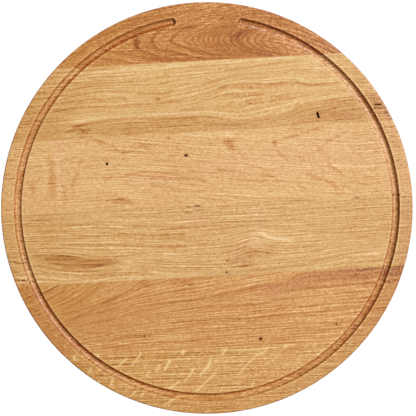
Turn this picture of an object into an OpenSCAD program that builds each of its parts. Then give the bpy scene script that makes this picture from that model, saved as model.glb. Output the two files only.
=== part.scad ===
// Round serving board, glued up from six oak staves and routed with a juice groove.
// Frame: origin at the centre of the underside, +Z up, +Y towards the gap in the groove.
// The staves run nearly along X, turned a few degrees from it.
// All sizes are in millimetres.

/* [Board] */
// Diameter of the board
board_d = 400; // [360:5:460]
// Thickness of the board
board_t = 20; // [16:1:30]
// Radius of the eased edge, above and below
edge_r = 1.5; // [1:0.5:4]

/* [Staves] */
// Width of a stave from glue line to glue line
stave_w = 69.6; // [62:0.1:76]
// Angle from +X to the run of the staves, in degrees
stave_deg = 3.15; // [0:0.05:6]
// Distance of the middle glue line from the centre, across the staves
middle_seam = 3.5; // [-10:0.5:10]

/* [Juice groove] */
// Distance from the rim to the middle of the groove
groove_inset = 16.5; // [12:0.25:28]
// Radius of the ball-nosed cutter
cutter_r = 3.75; // [3.75:0.25:6]
// Depth of the groove below the top face
groove_depth = 3.5; // [1.5:0.1:3.7]
// Angle between the two ends of the groove, from cutter centre to cutter centre
gap_deg = 21.2; // [12:0.1:60]

/* [Pin knots and checks] */
// Scale of the pin holes' width
pin_scale = 1; // [0.6:0.1:1.6]
// Scale of the pin holes' and checks' depth
pin_depth_scale = 1; // [0.5:0.1:1.5]

/* [Hidden] */
R = board_d / 2;
groove_r = R - groove_inset;
groove_z = board_t - groove_depth + cutter_r;   // height of the cutter's centre
dwell = 0.04;   // how much wider each end is, where the cutter plunges and lifts

// Pin holes: [x, y, diameter at the face, depth below the face, stave]
// Two that overlap make one hole that is long with the grain.
pins = [
    [ -96.9,   42.8, 1.9, 2.6, 3],
    [ -20.6,   51.0, 1.7, 2.6, 3],
    [ -19.3,   51.2, 1.5, 2.2, 3],
    [  19.9,  -51.0, 1.1, 1.6, 4],
    [  19.1,  -62.4, 1.2, 1.6, 4],
    [ 181.6,   12.8, 1.3, 5.0, 4],
    [ 186.6,   12.8, 1.3, 4.4, 4],
    [  51.9, -126.9, 1.7, 2.4, 5],
    [  53.0, -126.7, 1.2, 2.0, 5],
    [ -60.7, -124.5, 1.1, 1.6, 5],
    [ 125.5, -112.8, 1.3, 2.0, 5]
];
// Short open checks: [x, y, length, width, depth, angle from +X, stave]
checks = [
    [107.8,  90.1, 6.0, 1.6, 2.2, -74, 2],
    [165.8, 100.2, 6.4, 0.7, 0.9,   4, 2]
];

// The disc before it is grooved, with both arrises eased
module disc() {
    rotate_extrude($fn = 256) {
        square([R - edge_r, board_t]);
        translate([0, edge_r]) square([R, board_t - 2 * edge_r]);
        for (z = [edge_r, board_t - edge_r])
            translate([R - edge_r, z]) circle(r = edge_r, $fn = 48);
    }
}

// What the ball-nosed cutter sweeps: most of a ring, with a ball at each end
module groove() {
    translate([0, 0, groove_z]) {
        rotate([0, 0, 90 + gap_deg / 2])
            rotate_extrude(angle = 360 - gap_deg, $fn = 256)
                translate([groove_r, 0]) circle(r = cutter_r, $fn = 64);
        for (s = [-1, 1])
            rotate([0, 0, 90 + s * gap_deg / 2])
                translate([groove_r, 0, 0]) sphere(r = cutter_r + dwell, $fn = 64);
    }
}

// One pin hole: a blind hole that narrows downwards
module pin_hole(x, y, d, depth) {
    dz = depth * pin_depth_scale;
    translate([x, y, board_t - dz])
        cylinder(h = dz + 0.5, r1 = 0.3 * d * pin_scale, r2 = 0.52 * d * pin_scale, $fn = 24);
}

// One open check: a narrow blind slot with round ends
module check_slot(x, y, l, w, depth, a) {
    dz = depth * pin_depth_scale;
    translate([x, y, board_t - dz]) rotate([0, 0, a]) {
        translate([-(l - w) / 2, -w / 2, 0]) cube([l - w, w, dz + 1]);
        for (s = [-1, 1])
            translate([s * (l - w) / 2, 0, 0]) cylinder(h = dz + 1, r = w / 2, $fn = 24);
    }
}

// Where glue line k lies across the staves: 1 is between staves 1 and 2, 5 between 5 and 6
function seam(k) = middle_seam + (3 - k) * stave_w;

// The band of the disc that stave n fills
module band(n) {
    hi = n == 1 ? R + 5 : seam(n - 1);
    lo = n == 6 ? -R - 5 : seam(n);
    rotate([0, 0, stave_deg])
        translate([-R - 5, lo, -5]) cube([2 * R + 10, hi - lo, board_t + 10]);
}

module stave(n) {
    difference() {
        intersection() {
            disc();
            band(n);
        }
        groove();
        for (p = pins) if (p[4] == n) pin_hole(p[0], p[1], p[2], p[3]);
        for (c = checks) if (c[6] == n) check_slot(c[0], c[1], c[2], c[3], c[4], c[5]);
    }
}

// The top stave, red-brown, cut by the gap in the groove
module stave_1() { color([0.77, 0.53, 0.31]) stave(1); }
// The pale straight-grained stave with the open check
module stave_2() { color([0.87, 0.69, 0.46]) stave(2); }
// The two pale middle staves
module stave_3() { color([0.88, 0.69, 0.47]) stave(3); }
module stave_4() { color([0.85, 0.66, 0.42]) stave(4); }
// The tan stave below them
module stave_5() { color([0.80, 0.58, 0.35]) stave(5); }
// The bottom stave, quarter-sawn
module stave_6() { color([0.83, 0.62, 0.38]) stave(6); }

stave_1();
stave_2();
stave_3();
stave_4();
stave_5();
stave_6();
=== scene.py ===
"""Looks of the round serving board: six oak staves, an eased rim and a round-bottomed juice groove.

Each stave is rebuilt as a fine closed mesh in the place of its solid, and the wood's figure is worked out
from formulas at every vertex: growth rings, run of the fibres, tone, ray flecks and stains. Shader nodes
turn those fields into colour, pores, gloss and relief.
"""
import math

import bpy
import numpy as np
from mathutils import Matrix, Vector
from mathutils.geometry import delaunay_2d_cdt


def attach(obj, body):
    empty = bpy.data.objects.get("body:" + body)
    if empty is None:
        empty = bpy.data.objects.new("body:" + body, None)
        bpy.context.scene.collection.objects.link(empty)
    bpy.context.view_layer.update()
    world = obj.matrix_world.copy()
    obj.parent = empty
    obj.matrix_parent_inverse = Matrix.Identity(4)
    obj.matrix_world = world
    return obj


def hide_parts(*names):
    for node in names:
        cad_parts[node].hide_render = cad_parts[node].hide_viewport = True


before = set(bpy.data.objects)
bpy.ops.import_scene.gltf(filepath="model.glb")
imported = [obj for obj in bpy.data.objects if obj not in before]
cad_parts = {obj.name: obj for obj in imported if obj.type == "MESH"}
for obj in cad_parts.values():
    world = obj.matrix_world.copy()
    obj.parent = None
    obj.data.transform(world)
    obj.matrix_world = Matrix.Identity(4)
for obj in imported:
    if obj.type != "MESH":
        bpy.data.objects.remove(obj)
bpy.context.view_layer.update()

# ---------------------------------------------------------------- sizes, in millimetres, as in the solids
R = 200.0 - 0.03            # rim, a hair inside the solid's own
T = 20.0                    # thickness
EDGE = 1.5                  # eased arris
GROOVE_R = 183.5            # middle of the groove
CUT = 3.75                  # cutter radius
DEPTH = 3.5                 # groove depth
GAP = math.radians(21.2)    # between the two ends of the groove, at the cutter's centre
TILT = math.radians(3.15)   # run of the staves from +X
SEAMS = [3.5 + (3 - k) * 69.6 for k in range(1, 6)]      # glue lines, across the staves, top to bottom
HALF = math.sqrt(CUT ** 2 - (CUT - DEPTH) ** 2)          # half the groove's width at the face
STEP = 0.68                            # spacing of the mesh on the face
CA, SA = math.cos(TILT), math.sin(TILT)

# pin holes: x, y, diameter at the face, depth, stave
PINS = [
    (-96.9, 42.8, 1.9, 2.6, 3), (-20.6, 51.0, 1.7, 2.6, 3), (-19.3, 51.2, 1.5, 2.2, 3),
    (19.9, -51.0, 1.1, 1.6, 4), (19.1, -62.4, 1.2, 1.6, 4), (181.6, 12.8, 1.3, 5.0, 4),
    (186.6, 12.8, 1.3, 4.4, 4), (51.9, -126.9, 1.7, 2.4, 5), (53.0, -126.7, 1.2, 2.0, 5),
    (-60.7, -124.5, 1.1, 1.6, 5), (125.5, -112.8, 1.3, 2.0, 5)]
# checks: x, y, length, width, depth, angle, stave
CHECKS = [(107.8, 90.1, 6.0, 1.6, 2.2, -74.0, 2), (165.8, 100.2, 6.4, 0.7, 0.9, 4.0, 2)]


def to_pq(x, y):
    """Row frame to stave frame: p along the staves, q across them."""
    return x * CA + y * SA, -x * SA + y * CA


def to_xy(p, q):
    return p * CA - q * SA, p * SA + q * CA


# ---------------------------------------------------------------- height of the serving face
def groove_offset(x, y):
    """Distance from the line that the cutter's centre follows."""
    r = np.hypot(x, y)
    ang = np.arctan2(x, y)                       # 0 at +Y
    off = np.abs(r - GROOVE_R)
    for s in (-1, 1):
        ex, ey = GROOVE_R * math.sin(s * GAP / 2), GROOVE_R * math.cos(GAP / 2)
        near = np.abs(ang) < GAP / 2
        d = np.hypot(x - ex, y - ey)
        off = np.where(near, d if s < 0 else np.minimum(off, d), off) if s < 0 else np.where(near, np.minimum(off, d), off)
    return off


def groove_depth(off):
    """Depth below the face at that offset, with the lip eased by sanding."""
    d = np.clip(off, 0, None)
    inside = np.sqrt(np.clip(CUT ** 2 - d ** 2, 0, None)) - (CUT - DEPTH)
    lip = 0.08 * np.clip((HALF + 0.16 - d) / 0.19, 0, 1) ** 2
    return np.where(d < HALF - 0.03, np.maximum(inside, 0.08), lip)


def chain(points, closed):
    n = len(points)
    return points, [(i, (i + 1) % n) for i in range(n if closed else n - 1)]


def offset_outline(d):
    """Closed outline at distance d from the groove's centre line, both ends rounded."""
    a0 = GAP / 2
    n = max(600, int(2 * math.pi * (GROOVE_R + d) / (STEP * 1.25)))
    outer = [( (GROOVE_R + d) * math.sin(t), (GROOVE_R + d) * math.cos(t)) for t in np.linspace(a0, 2 * math.pi - a0, n)]
    if d < 1e-6:
        return chain(outer, False)
    inner = [((GROOVE_R - d) * math.sin(t), (GROOVE_R - d) * math.cos(t)) for t in np.linspace(2 * math.pi - a0, a0, n)]
    m = max(4, int(math.pi * d / 0.45))
    caps = []
    for s in (-1, 1):
        ex, ey = GROOVE_R * math.sin(s * a0), GROOVE_R * math.cos(a0)
        out = (math.sin(s * a0), math.cos(a0))                  # radial direction
        away = (-s * math.cos(a0), s * math.sin(s * a0))        # towards the gap
        caps.append([(ex + d * (out[0] * math.cos(t) + away[0] * math.sin(t)),
                      ey + d * (out[1] * math.cos(t) + away[1] * math.sin(t))) for t in np.linspace(0, math.pi, m + 1)[1:-1]])
    left, right = caps
    return chain(outer + left + inner + right[::-1], True)


def circle_line(r, n):
    return chain([(r * math.sin(2 * math.pi * i / n), r * math.cos(2 * math.pi * i / n)) for i in range(n)], True)


def pits(stave):
    """Outlines and depths of the pin holes and checks of one stave: list of (outline, depth below the face there, sunk)."""
    out = []
    for x, y, d, depth, s in PINS:
        if s != stave:
            continue
        for rad, k in ((0.52 * d + 0.12, 0.0), (0.52 * d - 0.06, 0.14), (0.36 * d, 1.0)):
            n = 14
            out.append(([(x + rad * math.cos(2 * math.pi * i / n), y + rad * math.sin(2 * math.pi * i / n)) for i in range(n)], depth * k, (x, y)))
    for x, y, length, w, depth, ang, s in CHECKS:
        if s != stave:
            continue
        c, e = math.cos(math.radians(ang)), math.sin(math.radians(ang))
        for grow, k in ((0.10, 0.0), (-0.05, 0.15), (-0.16, 1.0)):
            r, h = w / 2 + grow, (length - w) / 2
            loop = [(h + r * math.cos(t), r * math.sin(t)) for t in np.linspace(-math.pi / 2, math.pi / 2, 7)]
            loop += [(-h + r * math.cos(t), r * math.sin(t)) for t in np.linspace(math.pi / 2, 3 * math.pi / 2, 7)]
            out.append(([(x + a * c - b * e, y + a * e + b * c) for a, b in loop], depth * k, (x, y)))
    return out


def pit_depth(x, y, stave):
    """Extra depth of pins and checks at each point."""
    deep = np.zeros_like(x)
    for px, py, d, depth, s in PINS:
        if s == stave:
            rr = np.hypot(x - px, y - py)
            top, low = 0.52 * d - 0.06, 0.36 * d
            k = np.where(rr < low + 1e-3, 1.0, np.where(rr < top + 1e-3, 0.14, 0.0))
            deep = np.maximum(deep, k * depth)
    for px, py, length, w, depth, ang, s in CHECKS:
        if s == stave:
            c, e = math.cos(math.radians(ang)), math.sin(math.radians(ang))
            a, b = (x - px) * c + (y - py) * e, -(x - px) * e + (y - py) * c
            h = (length - w) / 2
            rr = np.hypot(np.clip(np.abs(a) - h, 0, None), b) - w / 2
            k = np.where(rr < -0.159, 1.0, np.where(rr < -0.049, 0.15, 0.0))
            deep = np.maximum(deep, k * depth)
    return deep


ROUND = [(R - EDGE + EDGE * math.sin(math.radians(t)), T - EDGE + EDGE * math.cos(math.radians(t))) for t in (0, 14, 28, 42, 56, 73, 90)]
N_RIM = 1440
LIPS = [0.0, 0.85, 1.6, 2.25, 2.78, 3.2, 3.52, HALF - 0.032, HALF + 0.05, HALF + 0.16, HALF + 0.45]


def triangulate(points, edges):
    v, _, f, *_ = delaunay_2d_cdt([Vector(p) for p in points], edges, [], 1, 1e-5)
    return np.array([tuple(p) for p in v]), np.array([tuple(t) for t in f if len(t) == 3], int)


def patch(stave, step, top):
    """Triangulated face of one stave: points (x, y) in mm and triangles, top or underside."""
    hi = SEAMS[stave - 2] if stave > 1 else R + 5
    lo = SEAMS[stave - 1] if stave < 6 else -R - 5
    pts, edges = [], []

    def add(line, keep=None):
        p, e = line
        base = len(pts)
        pts.extend(p)
        edges.extend((base + a, base + b) for a, b in e)

    rounds = ROUND if top else [ROUND[i] for i in (0, 2, 4, 6)]
    for r, _ in rounds:
        add(circle_line(r, N_RIM))
    if top:
        for d in LIPS:
            add(offset_outline(d))
        for loop, depth, _ in pits(stave):
            add(chain(loop, True))
    for q in (hi, lo):
        if abs(q) < R:
            a, b = to_xy(-R - 3, q), to_xy(R + 3, q)
            add(chain([a, b], False))
    # free points on a hexagonal grid in the stave's frame, clear of the lines
    qs = np.arange(max(lo, -R) + step * 0.6, min(hi, R) - step * 0.3, step * 0.866)
    free = []
    for j, q in enumerate(qs):
        w = math.sqrt(max(R * R - q * q, 0))
        p = np.arange(-w, w, step) + (step / 2 if j % 2 else 0)
        free.append(np.stack([p, np.full_like(p, q)], 1))
    free = np.concatenate(free)
    x, y = to_xy(free[:, 0], free[:, 1])
    ok = np.hypot(x, y) < R - EDGE - step * 0.5
    if top:
        off = groove_offset(x, y)
        ok &= off > LIPS[-1] + step * 0.5
        for px, py, d, depth, s in PINS:
            if s == stave:
                ok &= np.hypot(x - px, y - py) > 0.52 * d + 0.12 + step * 0.3
        for px, py, length, w, depth, ang, s in CHECKS:
            if s == stave:
                c, e = math.cos(math.radians(ang)), math.sin(math.radians(ang))
                a, b = (x - px) * c + (y - py) * e, -(x - px) * e + (y - py) * c
                ok &= np.hypot(np.clip(np.abs(a) - (length - w) / 2, 0, None), b) > w / 2 + 0.1 + step * 0.3
    x, y = x[ok], y[ok]
    # lines are kept only near this stave, so the others cost nothing
    P = np.array(pts)
    _, q = to_pq(P[:, 0], P[:, 1])
    near = (q < hi + 4) & (q > lo - 4)
    seam = np.zeros(len(P), bool)
    E = np.array(edges)
    n_seam = sum(1 for s in (hi, lo) if abs(s) < R) * 2
    seam[len(P) - n_seam:] = n_seam > 0
    near |= seam
    keep_e = near[E[:, 0]] & near[E[:, 1]]
    index = np.full(len(P), -1)
    index[near] = np.arange(near.sum())
    P2 = P[near]
    E2 = [(int(a), int(b)) for a, b in index[E[keep_e]]]
    allp = np.concatenate([P2, np.stack([x, y], 1)])
    v, f = triangulate([tuple(a) for a in allp], E2)
    c = v[f].mean(1)
    _, qc = to_pq(c[:, 0], c[:, 1])
    inside = (qc < hi) & (qc > lo)
    # the outer circle is a polygon: a triangle outside it is dropped by its centre
    ang = np.arctan2(c[:, 0], c[:, 1]) % (2 * math.pi)
    half = math.pi / N_RIM
    local = (ang % (2 * half)) - half
    inside &= np.hypot(c[:, 0], c[:, 1]) * np.cos(local) < R * math.cos(half) - 1e-6
    f = f[inside]
    used = np.unique(f)
    remap = np.full(len(v), -1)
    remap[used] = np.arange(len(used))
    v, f = v[used], remap[f]
    area = (v[f[:, 1], 0] - v[f[:, 0], 0]) * (v[f[:, 2], 1] - v[f[:, 0], 1]) - (v[f[:, 1], 1] - v[f[:, 0], 1]) * (v[f[:, 2], 0] - v[f[:, 0], 0])
    f[area < 0] = f[area < 0][:, ::-1]
    return v, f[np.abs(area) > 1e-9]


def rim_height(x, y):
    """Height of the top face at a point: T on the flat, falling over the eased arris."""
    r = np.hypot(x, y)
    ang = np.arctan2(x, y) % (2 * math.pi)
    half = math.pi / N_RIM
    local = (ang % (2 * half)) - half
    rr = r * np.cos(local) / math.cos(half)                # the polygon's own radius
    rs, zs = np.array([a for a, _ in ROUND]), np.array([b for _, b in ROUND])
    return np.where(rr <= rs[0] + 1e-6, T, np.interp(rr, rs, zs))


def boundary(f):
    """Directed border edges of a triangle list."""
    e = np.concatenate([f[:, [0, 1]], f[:, [1, 2]], f[:, [2, 0]]])
    key = e[:, 0].astype(np.int64) * 10 ** 7 + e[:, 1]
    rev = e[:, 1].astype(np.int64) * 10 ** 7 + e[:, 0]
    return e[~np.isin(key, rev)]


def stave_mesh(stave):
    """Closed mesh of one stave: vertices in mm and triangles."""
    vt, ft = patch(stave, STEP, True)
    vb, fb = patch(stave, 2.4, False)
    off = groove_offset(vt[:, 0], vt[:, 1])
    flat = rim_height(vt[:, 0], vt[:, 1])
    zt = flat - groove_depth(off)
    deep = pit_depth(vt[:, 0], vt[:, 1], stave)
    zt = np.where(deep > 0, np.minimum(zt, T - deep), zt)
    zb = T - rim_height(vb[:, 0], vb[:, 1])
    verts = [np.column_stack([vt, zt]), np.column_stack([vb, zb])]
    faces = [ft, fb[:, ::-1] + len(vt)]
    base = len(vt) + len(vb)
    bt, bb = boundary(ft), boundary(fb)
    hi = SEAMS[stave - 2] if stave > 1 else None
    lo = SEAMS[stave - 1] if stave < 6 else None

    def on_rim(v):
        r = np.hypot(v[:, 0], v[:, 1])
        ang = np.arctan2(v[:, 0], v[:, 1]) % (2 * math.pi)
        half = math.pi / N_RIM
        local = (ang % (2 * half)) - half
        return np.abs(r * np.cos(local) / math.cos(half) - R) < 2e-3

    # outer wall: rows between the two rims, which share their points
    rim_t = [i for i in np.unique(bt) if on_rim(vt[i:i + 1])[0]]
    rim_b = [i for i in np.unique(bb) if on_rim(vb[i:i + 1])[0]]
    lut = {(round(float(vb[i, 0]), 3), round(float(vb[i, 1]), 3)): i for i in rim_b}
    rim_edges = [(a, b) for a, b in bt if on_rim(vt[[a, b]]).all() and not _on_seam(vt[[a, b]], hi, lo)]
    levels = np.linspace(T - EDGE, EDGE, 15)[1:-1]
    ids = {}
    new = []
    for a in sorted({i for e in rim_edges for i in e}):
        col = [a]
        for z in levels:
            new.append((vt[a, 0], vt[a, 1], z))
            col.append(base + len(new) - 1)
        key = (round(float(vt[a, 0]), 3), round(float(vt[a, 1]), 3))
        hit = lut.get(key)
        if hit is None:
            d = [np.hypot(*(vb[i] - vt[a])) for i in rim_b]
            hit = rim_b[int(np.argmin(d))]
        col.append(hit + len(vt))
        ids[a] = col
    wall = []
    for a, b in rim_edges:
        ca, cb = ids[a], ids[b]
        for k in range(len(ca) - 1):
            wall.append((cb[k], ca[k], ca[k + 1]))
            wall.append((cb[k], ca[k + 1], cb[k + 1]))
    if new:
        verts.append(np.array(new))
        base += len(new)
    faces.append(np.array(wall, int))
    # seam walls: the loop of points that lie on the glue line, filled in its own plane
    V = np.concatenate(verts)
    F = np.concatenate(faces)
    open_e = boundary(F)
    for q in (hi, lo):
        if q is None:
            continue
        p_all, q_all = to_pq(V[:, 0], V[:, 1])
        e = open_e[(np.abs(q_all[open_e[:, 0]] - q) < 2e-3) & (np.abs(q_all[open_e[:, 1]] - q) < 2e-3)]
        idx = np.unique(e)
        local = {int(i): k for k, i in enumerate(idx)}
        pts = [(float(p_all[i]), float(V[i, 2])) for i in idx]
        v2, e2, f2, ov, _, _ = delaunay_2d_cdt([Vector(p) for p in pts], [(local[int(a)], local[int(b)]) for a, b in e], [], 1, 1e-7)
        back = [idx[o[0]] for o in ov]
        tri = np.array([[back[i] for i in t] for t in f2 if len(t) == 3], int)
        # the outline isn't convex over the groove: keep what lies inside it
        c = np.column_stack([p_all[tri].mean(1), V[tri][:, :, 2].mean(1)])
        top_e = [(p_all[a], V[a, 2], p_all[b], V[b, 2]) for a, b in e]
        seg = np.array(top_e)
        x0, x1 = np.minimum(seg[:, 0], seg[:, 2]), np.maximum(seg[:, 0], seg[:, 2])
        ok = np.zeros(len(c), bool)
        for k, (cx, cz) in enumerate(c):
            m = (x0 <= cx) & (cx < x1)
            zz = seg[m, 1] + (cx - seg[m, 0]) / (seg[m, 2] - seg[m, 0]) * (seg[m, 3] - seg[m, 1])
            ok[k] = (zz > cz).sum() % 2 == 1
        tri = tri[ok]
        # facing: outward is +q on the upper glue line and -q on the lower one
        a, b, d = V[tri[:, 0]], V[tri[:, 1]], V[tri[:, 2]]
        n = np.cross(b - a, d - a)
        nq = -n[:, 0] * SA + n[:, 1] * CA
        flip = nq < 0 if q is hi else nq > 0
        tri[flip] = tri[flip][:, ::-1]
        F = np.concatenate([F, tri])
    return V, F, len(vt), len(vb)


def _on_seam(v, hi, lo):
    _, q = to_pq(v[:, 0], v[:, 1])
    return any(s is not None and (np.abs(q - s) < 2e-3).all() for s in (hi, lo))


def make_object(name, V, F):
    me = bpy.data.meshes.new(name)
    me.vertices.add(len(V))
    me.vertices.foreach_set("co", (V * 0.001).astype(np.float32).ravel())
    me.loops.add(len(F) * 3)
    me.loops.foreach_set("vertex_index", F.astype(np.int32).ravel())
    me.polygons.add(len(F))
    me.polygons.foreach_set("loop_start", np.arange(0, len(F) * 3, 3, dtype=np.int32))
    me.update(calc_edges=True)
    me.validate()
    me.polygons.foreach_set("use_smooth", np.ones(len(me.polygons), bool))
    me.set_sharp_from_angle(angle=math.radians(38))
    ob = bpy.data.objects.new(name, me)
    bpy.context.scene.collection.objects.link(ob)
    return ob


# ---------------------------------------------------------------- the wood's figure
# Figure coordinates: u along the staves and v across them, downwards in the plan view, in units of
# UNIT millimetres from the centre. Lines of the figure are given as a few points each.
UNIT = 0.97333


def rnd(ix, iy, seed):
    """Repeatable random number from 0 to 1 for each lattice cell."""
    ix = ix.astype(np.int64).astype(np.uint64)
    iy = iy.astype(np.int64).astype(np.uint64)
    m = np.uint64(0xFFFFFFFF)
    h = (ix * np.uint64(374761393) + iy * np.uint64(668265263) + np.uint64(seed * 362437 + 1013904223)) & m
    h = ((h ^ (h >> np.uint64(13))) * np.uint64(1274126177)) & m
    h = ((h ^ (h >> np.uint64(15))) * np.uint64(2246822519)) & m
    return (h ^ (h >> np.uint64(16))).astype(np.float64) / 4294967295.0


def noise(x, y, seed):
    """Smooth value noise from -1 to 1, one cell to a unit."""
    x0, y0 = np.floor(x), np.floor(y)
    fx, fy = x - x0, y - y0
    fx, fy = fx * fx * (3 - 2 * fx), fy * fy * (3 - 2 * fy)
    a, b = rnd(x0, y0, seed), rnd(x0 + 1, y0, seed)
    c, d = rnd(x0, y0 + 1, seed), rnd(x0 + 1, y0 + 1, seed)
    return 2 * (a + (b - a) * fx + (c - a) * fy + (a - b - c + d) * fx * fy) - 1


def fbm(x, y, seed, n=3):
    out, amp = 0, 1.0
    for k in range(n):
        out = out + amp * noise(x * 2 ** k, y * 2 ** k, seed + 17 * k)
        amp *= 0.5
    return out / 1.5


def step01(a, b, x):
    k = np.clip((x - a) / (b - a), 0, 1)
    return k * k * (3 - 2 * k)


def smooth(points, n=6):
    """Catmull-Rom curve through given points."""
    P = np.array(points, float)
    if len(P) < 3:
        return P
    A = np.concatenate([[2 * P[0] - P[1]], P, [2 * P[-1] - P[-2]]])
    t = np.linspace(0, 1, n, endpoint=False)[:, None]
    out = []
    for i in range(len(P) - 1):
        a, b, c, d = A[i:i + 4]
        out.append(0.5 * (2 * b + (c - a) * t + (2 * a - 5 * b + 4 * c - d) * t ** 2 + (3 * b - a - 3 * c + d) * t ** 3))
    return np.concatenate(out + [P[-1:]])


def stroke(u, v, points, width, tail=0.0, ends=(6.0, 6.0), seed=0, wob=0.22, gaps=0.25):
    """A soft line through given points: 1 on it, 0 away from it. A tail above 0 shades off below the line, one
    under 0 above it. It wanders a little and its strength comes and goes."""
    P = smooth(points)
    pad = 3 * width + 3.5 * abs(tail) + 1
    out = np.zeros_like(u)
    m = (u > P[:, 0].min() - pad) & (u < P[:, 0].max() + pad) & (v > P[:, 1].min() - pad) & (v < P[:, 1].max() + pad)
    if not m.any():
        return out
    x, y = u[m], v[m]
    x, y = x + wob * noise(x / 5, y / 5, seed + 3), y + wob * noise(x / 9, y / 5, seed + 5)
    best = np.full(len(x), 1e9)
    side = np.ones(len(x))
    along = np.zeros(len(x))
    total = 0.0
    for i in range(len(P) - 1):
        ax, ay = P[i]
        dx, dy = P[i + 1] - P[i]
        ln = math.hypot(dx, dy)
        k = np.clip(((x - ax) * dx + (y - ay) * dy) / (ln * ln), 0, 1)
        ex, ey = x - ax - k * dx, y - ay - k * dy
        d2 = ex * ex + ey * ey
        near = d2 < best
        best = np.where(near, d2, best)
        side = np.where(near, dx * ey - dy * ex, side)
        along = np.where(near, total + k * ln, along)
        total += ln
    d = np.sqrt(best)
    w = width * (1 + 0.3 * noise(along / 8, along * 0, seed + 9))
    core = np.exp(-(d / w) ** 2) - 0.22 * np.exp(-((d - 2.3 * w) / w) ** 2)
    if tail:
        soft = 0.5 * np.exp(-d / abs(tail)) + 0.5 * core
        core = np.where(side * tail > 0, soft, core)
    e0, e1 = max(min(ends[0], 0.3 * total), 0.01), max(min(ends[1], 0.3 * total), 0.01)
    fade = np.clip(along / e0, 0, 1) * np.clip((total - along) / e1, 0, 1)
    out[m] = core * fade * (1 - gaps * (0.5 + 0.5 * noise(along / 6, along * 0 + 3, seed + 11)))
    return out


def blob(u, v, cu, cv, ru, rv, turn=0.0, hard=1.0):
    """Soft oval patch."""
    c, s = math.cos(math.radians(turn)), math.sin(math.radians(turn))
    a, b = (u - cu) * c + (v - cv) * s, -(u - cu) * s + (v - cv) * c
    return np.exp(-((a / ru) ** 2 + (b / rv) ** 2) ** hard)


def flow(u, v, lines):
    """Coordinate across the fibres: each line, given from left to right, becomes one value of it."""
    rows = [np.interp(u, *smooth(pts).T) if len(pts) > 1 else np.full_like(u, pts[0][1]) for pts in lines]
    gu = np.linspace(-170, 170, 69)
    grid = np.array([np.interp(gu, *smooth(pts).T) if len(pts) > 1 else np.full_like(gu, pts[0][1]) for pts in lines])
    level = [float(grid[0].mean())]
    for a, b in zip(grid, grid[1:]):
        mid = (a + b) / 2
        ok = (mid > v.min() - 2) & (mid < v.max() + 2)
        level.append(level[-1] + float((b - a)[ok].mean() if ok.any() else (b - a).mean()))
    t = np.where(v <= rows[0], level[0] + v - rows[0], 0.0)
    for k in range(len(rows) - 1):
        gap = np.maximum(rows[k + 1] - rows[k], 0.3)
        m = (v > rows[k]) & (v <= rows[k + 1])
        t = np.where(m, level[k] + (v - rows[k]) / gap * (level[k + 1] - level[k]), t)
    return np.where(v > rows[-1], level[-1] + v - rows[-1], t)


class Wood:
    """Fields of one stave at a set of points, all starting neutral."""

    def __init__(self, u, v):
        z = np.zeros_like(u)
        self.u, self.v = u, v
        self.t = v.copy()               # across the fibres
        self.ring = z.copy()            # ring number
        self.line = z.copy()            # drawn dark lines of the figure
        self.tone = z.copy()            # lighter above 0, darker below
        self.hue = z.copy()             # pinker and greyer above 0, yellower below
        self.fleck = z.copy()           # pale ray flecks
        self.stain_and_pit_shade = z.copy()            # near-black: stains, and painted shade in the pin holes and checks
        self.ring_amp = z + 1.0
        self.pore_amp = z + 1.0
        self.calm = z.copy()            # fades the fine stripes out where other figure shows
        self.dust = z.copy()            # greyer and duller wood

    def lines(self, rows, seed=1):
        """rows of (strength, width, tail, points)"""
        for k, (amp, width, tail, pts) in enumerate(rows):
            self.line += amp * stroke(self.u, self.v, pts, width, tail, seed=seed * 100 + k)

    def marks(self, rows, seed=1):
        """Short dark stains: rows of (strength, width, points)."""
        for k, (amp, width, pts) in enumerate(rows):
            s = stroke(self.u, self.v, pts, width, 0, ends=(1.5, 1.5), seed=seed * 100 + 80 + k, wob=0.25, gaps=0.25)
            self.stain_and_pit_shade = np.maximum(self.stain_and_pit_shade, amp * s)

    def pale(self, rows, seed=1):
        for k, (amp, width, tail, pts) in enumerate(rows):
            self.tone += (0.45 if seed == 2 else 0.7) * amp * stroke(self.u, self.v, pts, width, tail, seed=seed * 100 + 50 + k)

    def flecks(self, rows, seed=1):
        for k, (amp, width, pts) in enumerate(rows):
            s = stroke(self.u, self.v, pts, 1.03 * width, 0, ends=(1.5, 2.5), seed=seed * 100 + k, wob=0.4, gaps=0.32)
            self.fleck = np.maximum(self.fleck, 1.0 * amp * s)

    def scatter(self, n, box, length, slope, width, amp, seed):
        """Small flecks strewn over a box (u0, u1, v0, v1)."""
        g = np.random.default_rng(seed)
        for k in range(n):
            cu, cv = g.uniform(box[0], box[1]), g.uniform(box[2], box[3])
            ln, a = g.uniform(*length), math.radians(g.uniform(*slope))
            du, dv = -math.cos(a) * ln / 2, math.sin(a) * ln / 2
            s = stroke(self.u, self.v, [(cu - du, cv - dv), (cu + du, cv + dv)], g.uniform(*width), 0, ends=(1.5, 2), seed=seed + k, wob=0.4)
            self.fleck = np.maximum(self.fleck, g.uniform(*amp) * s)


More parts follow.
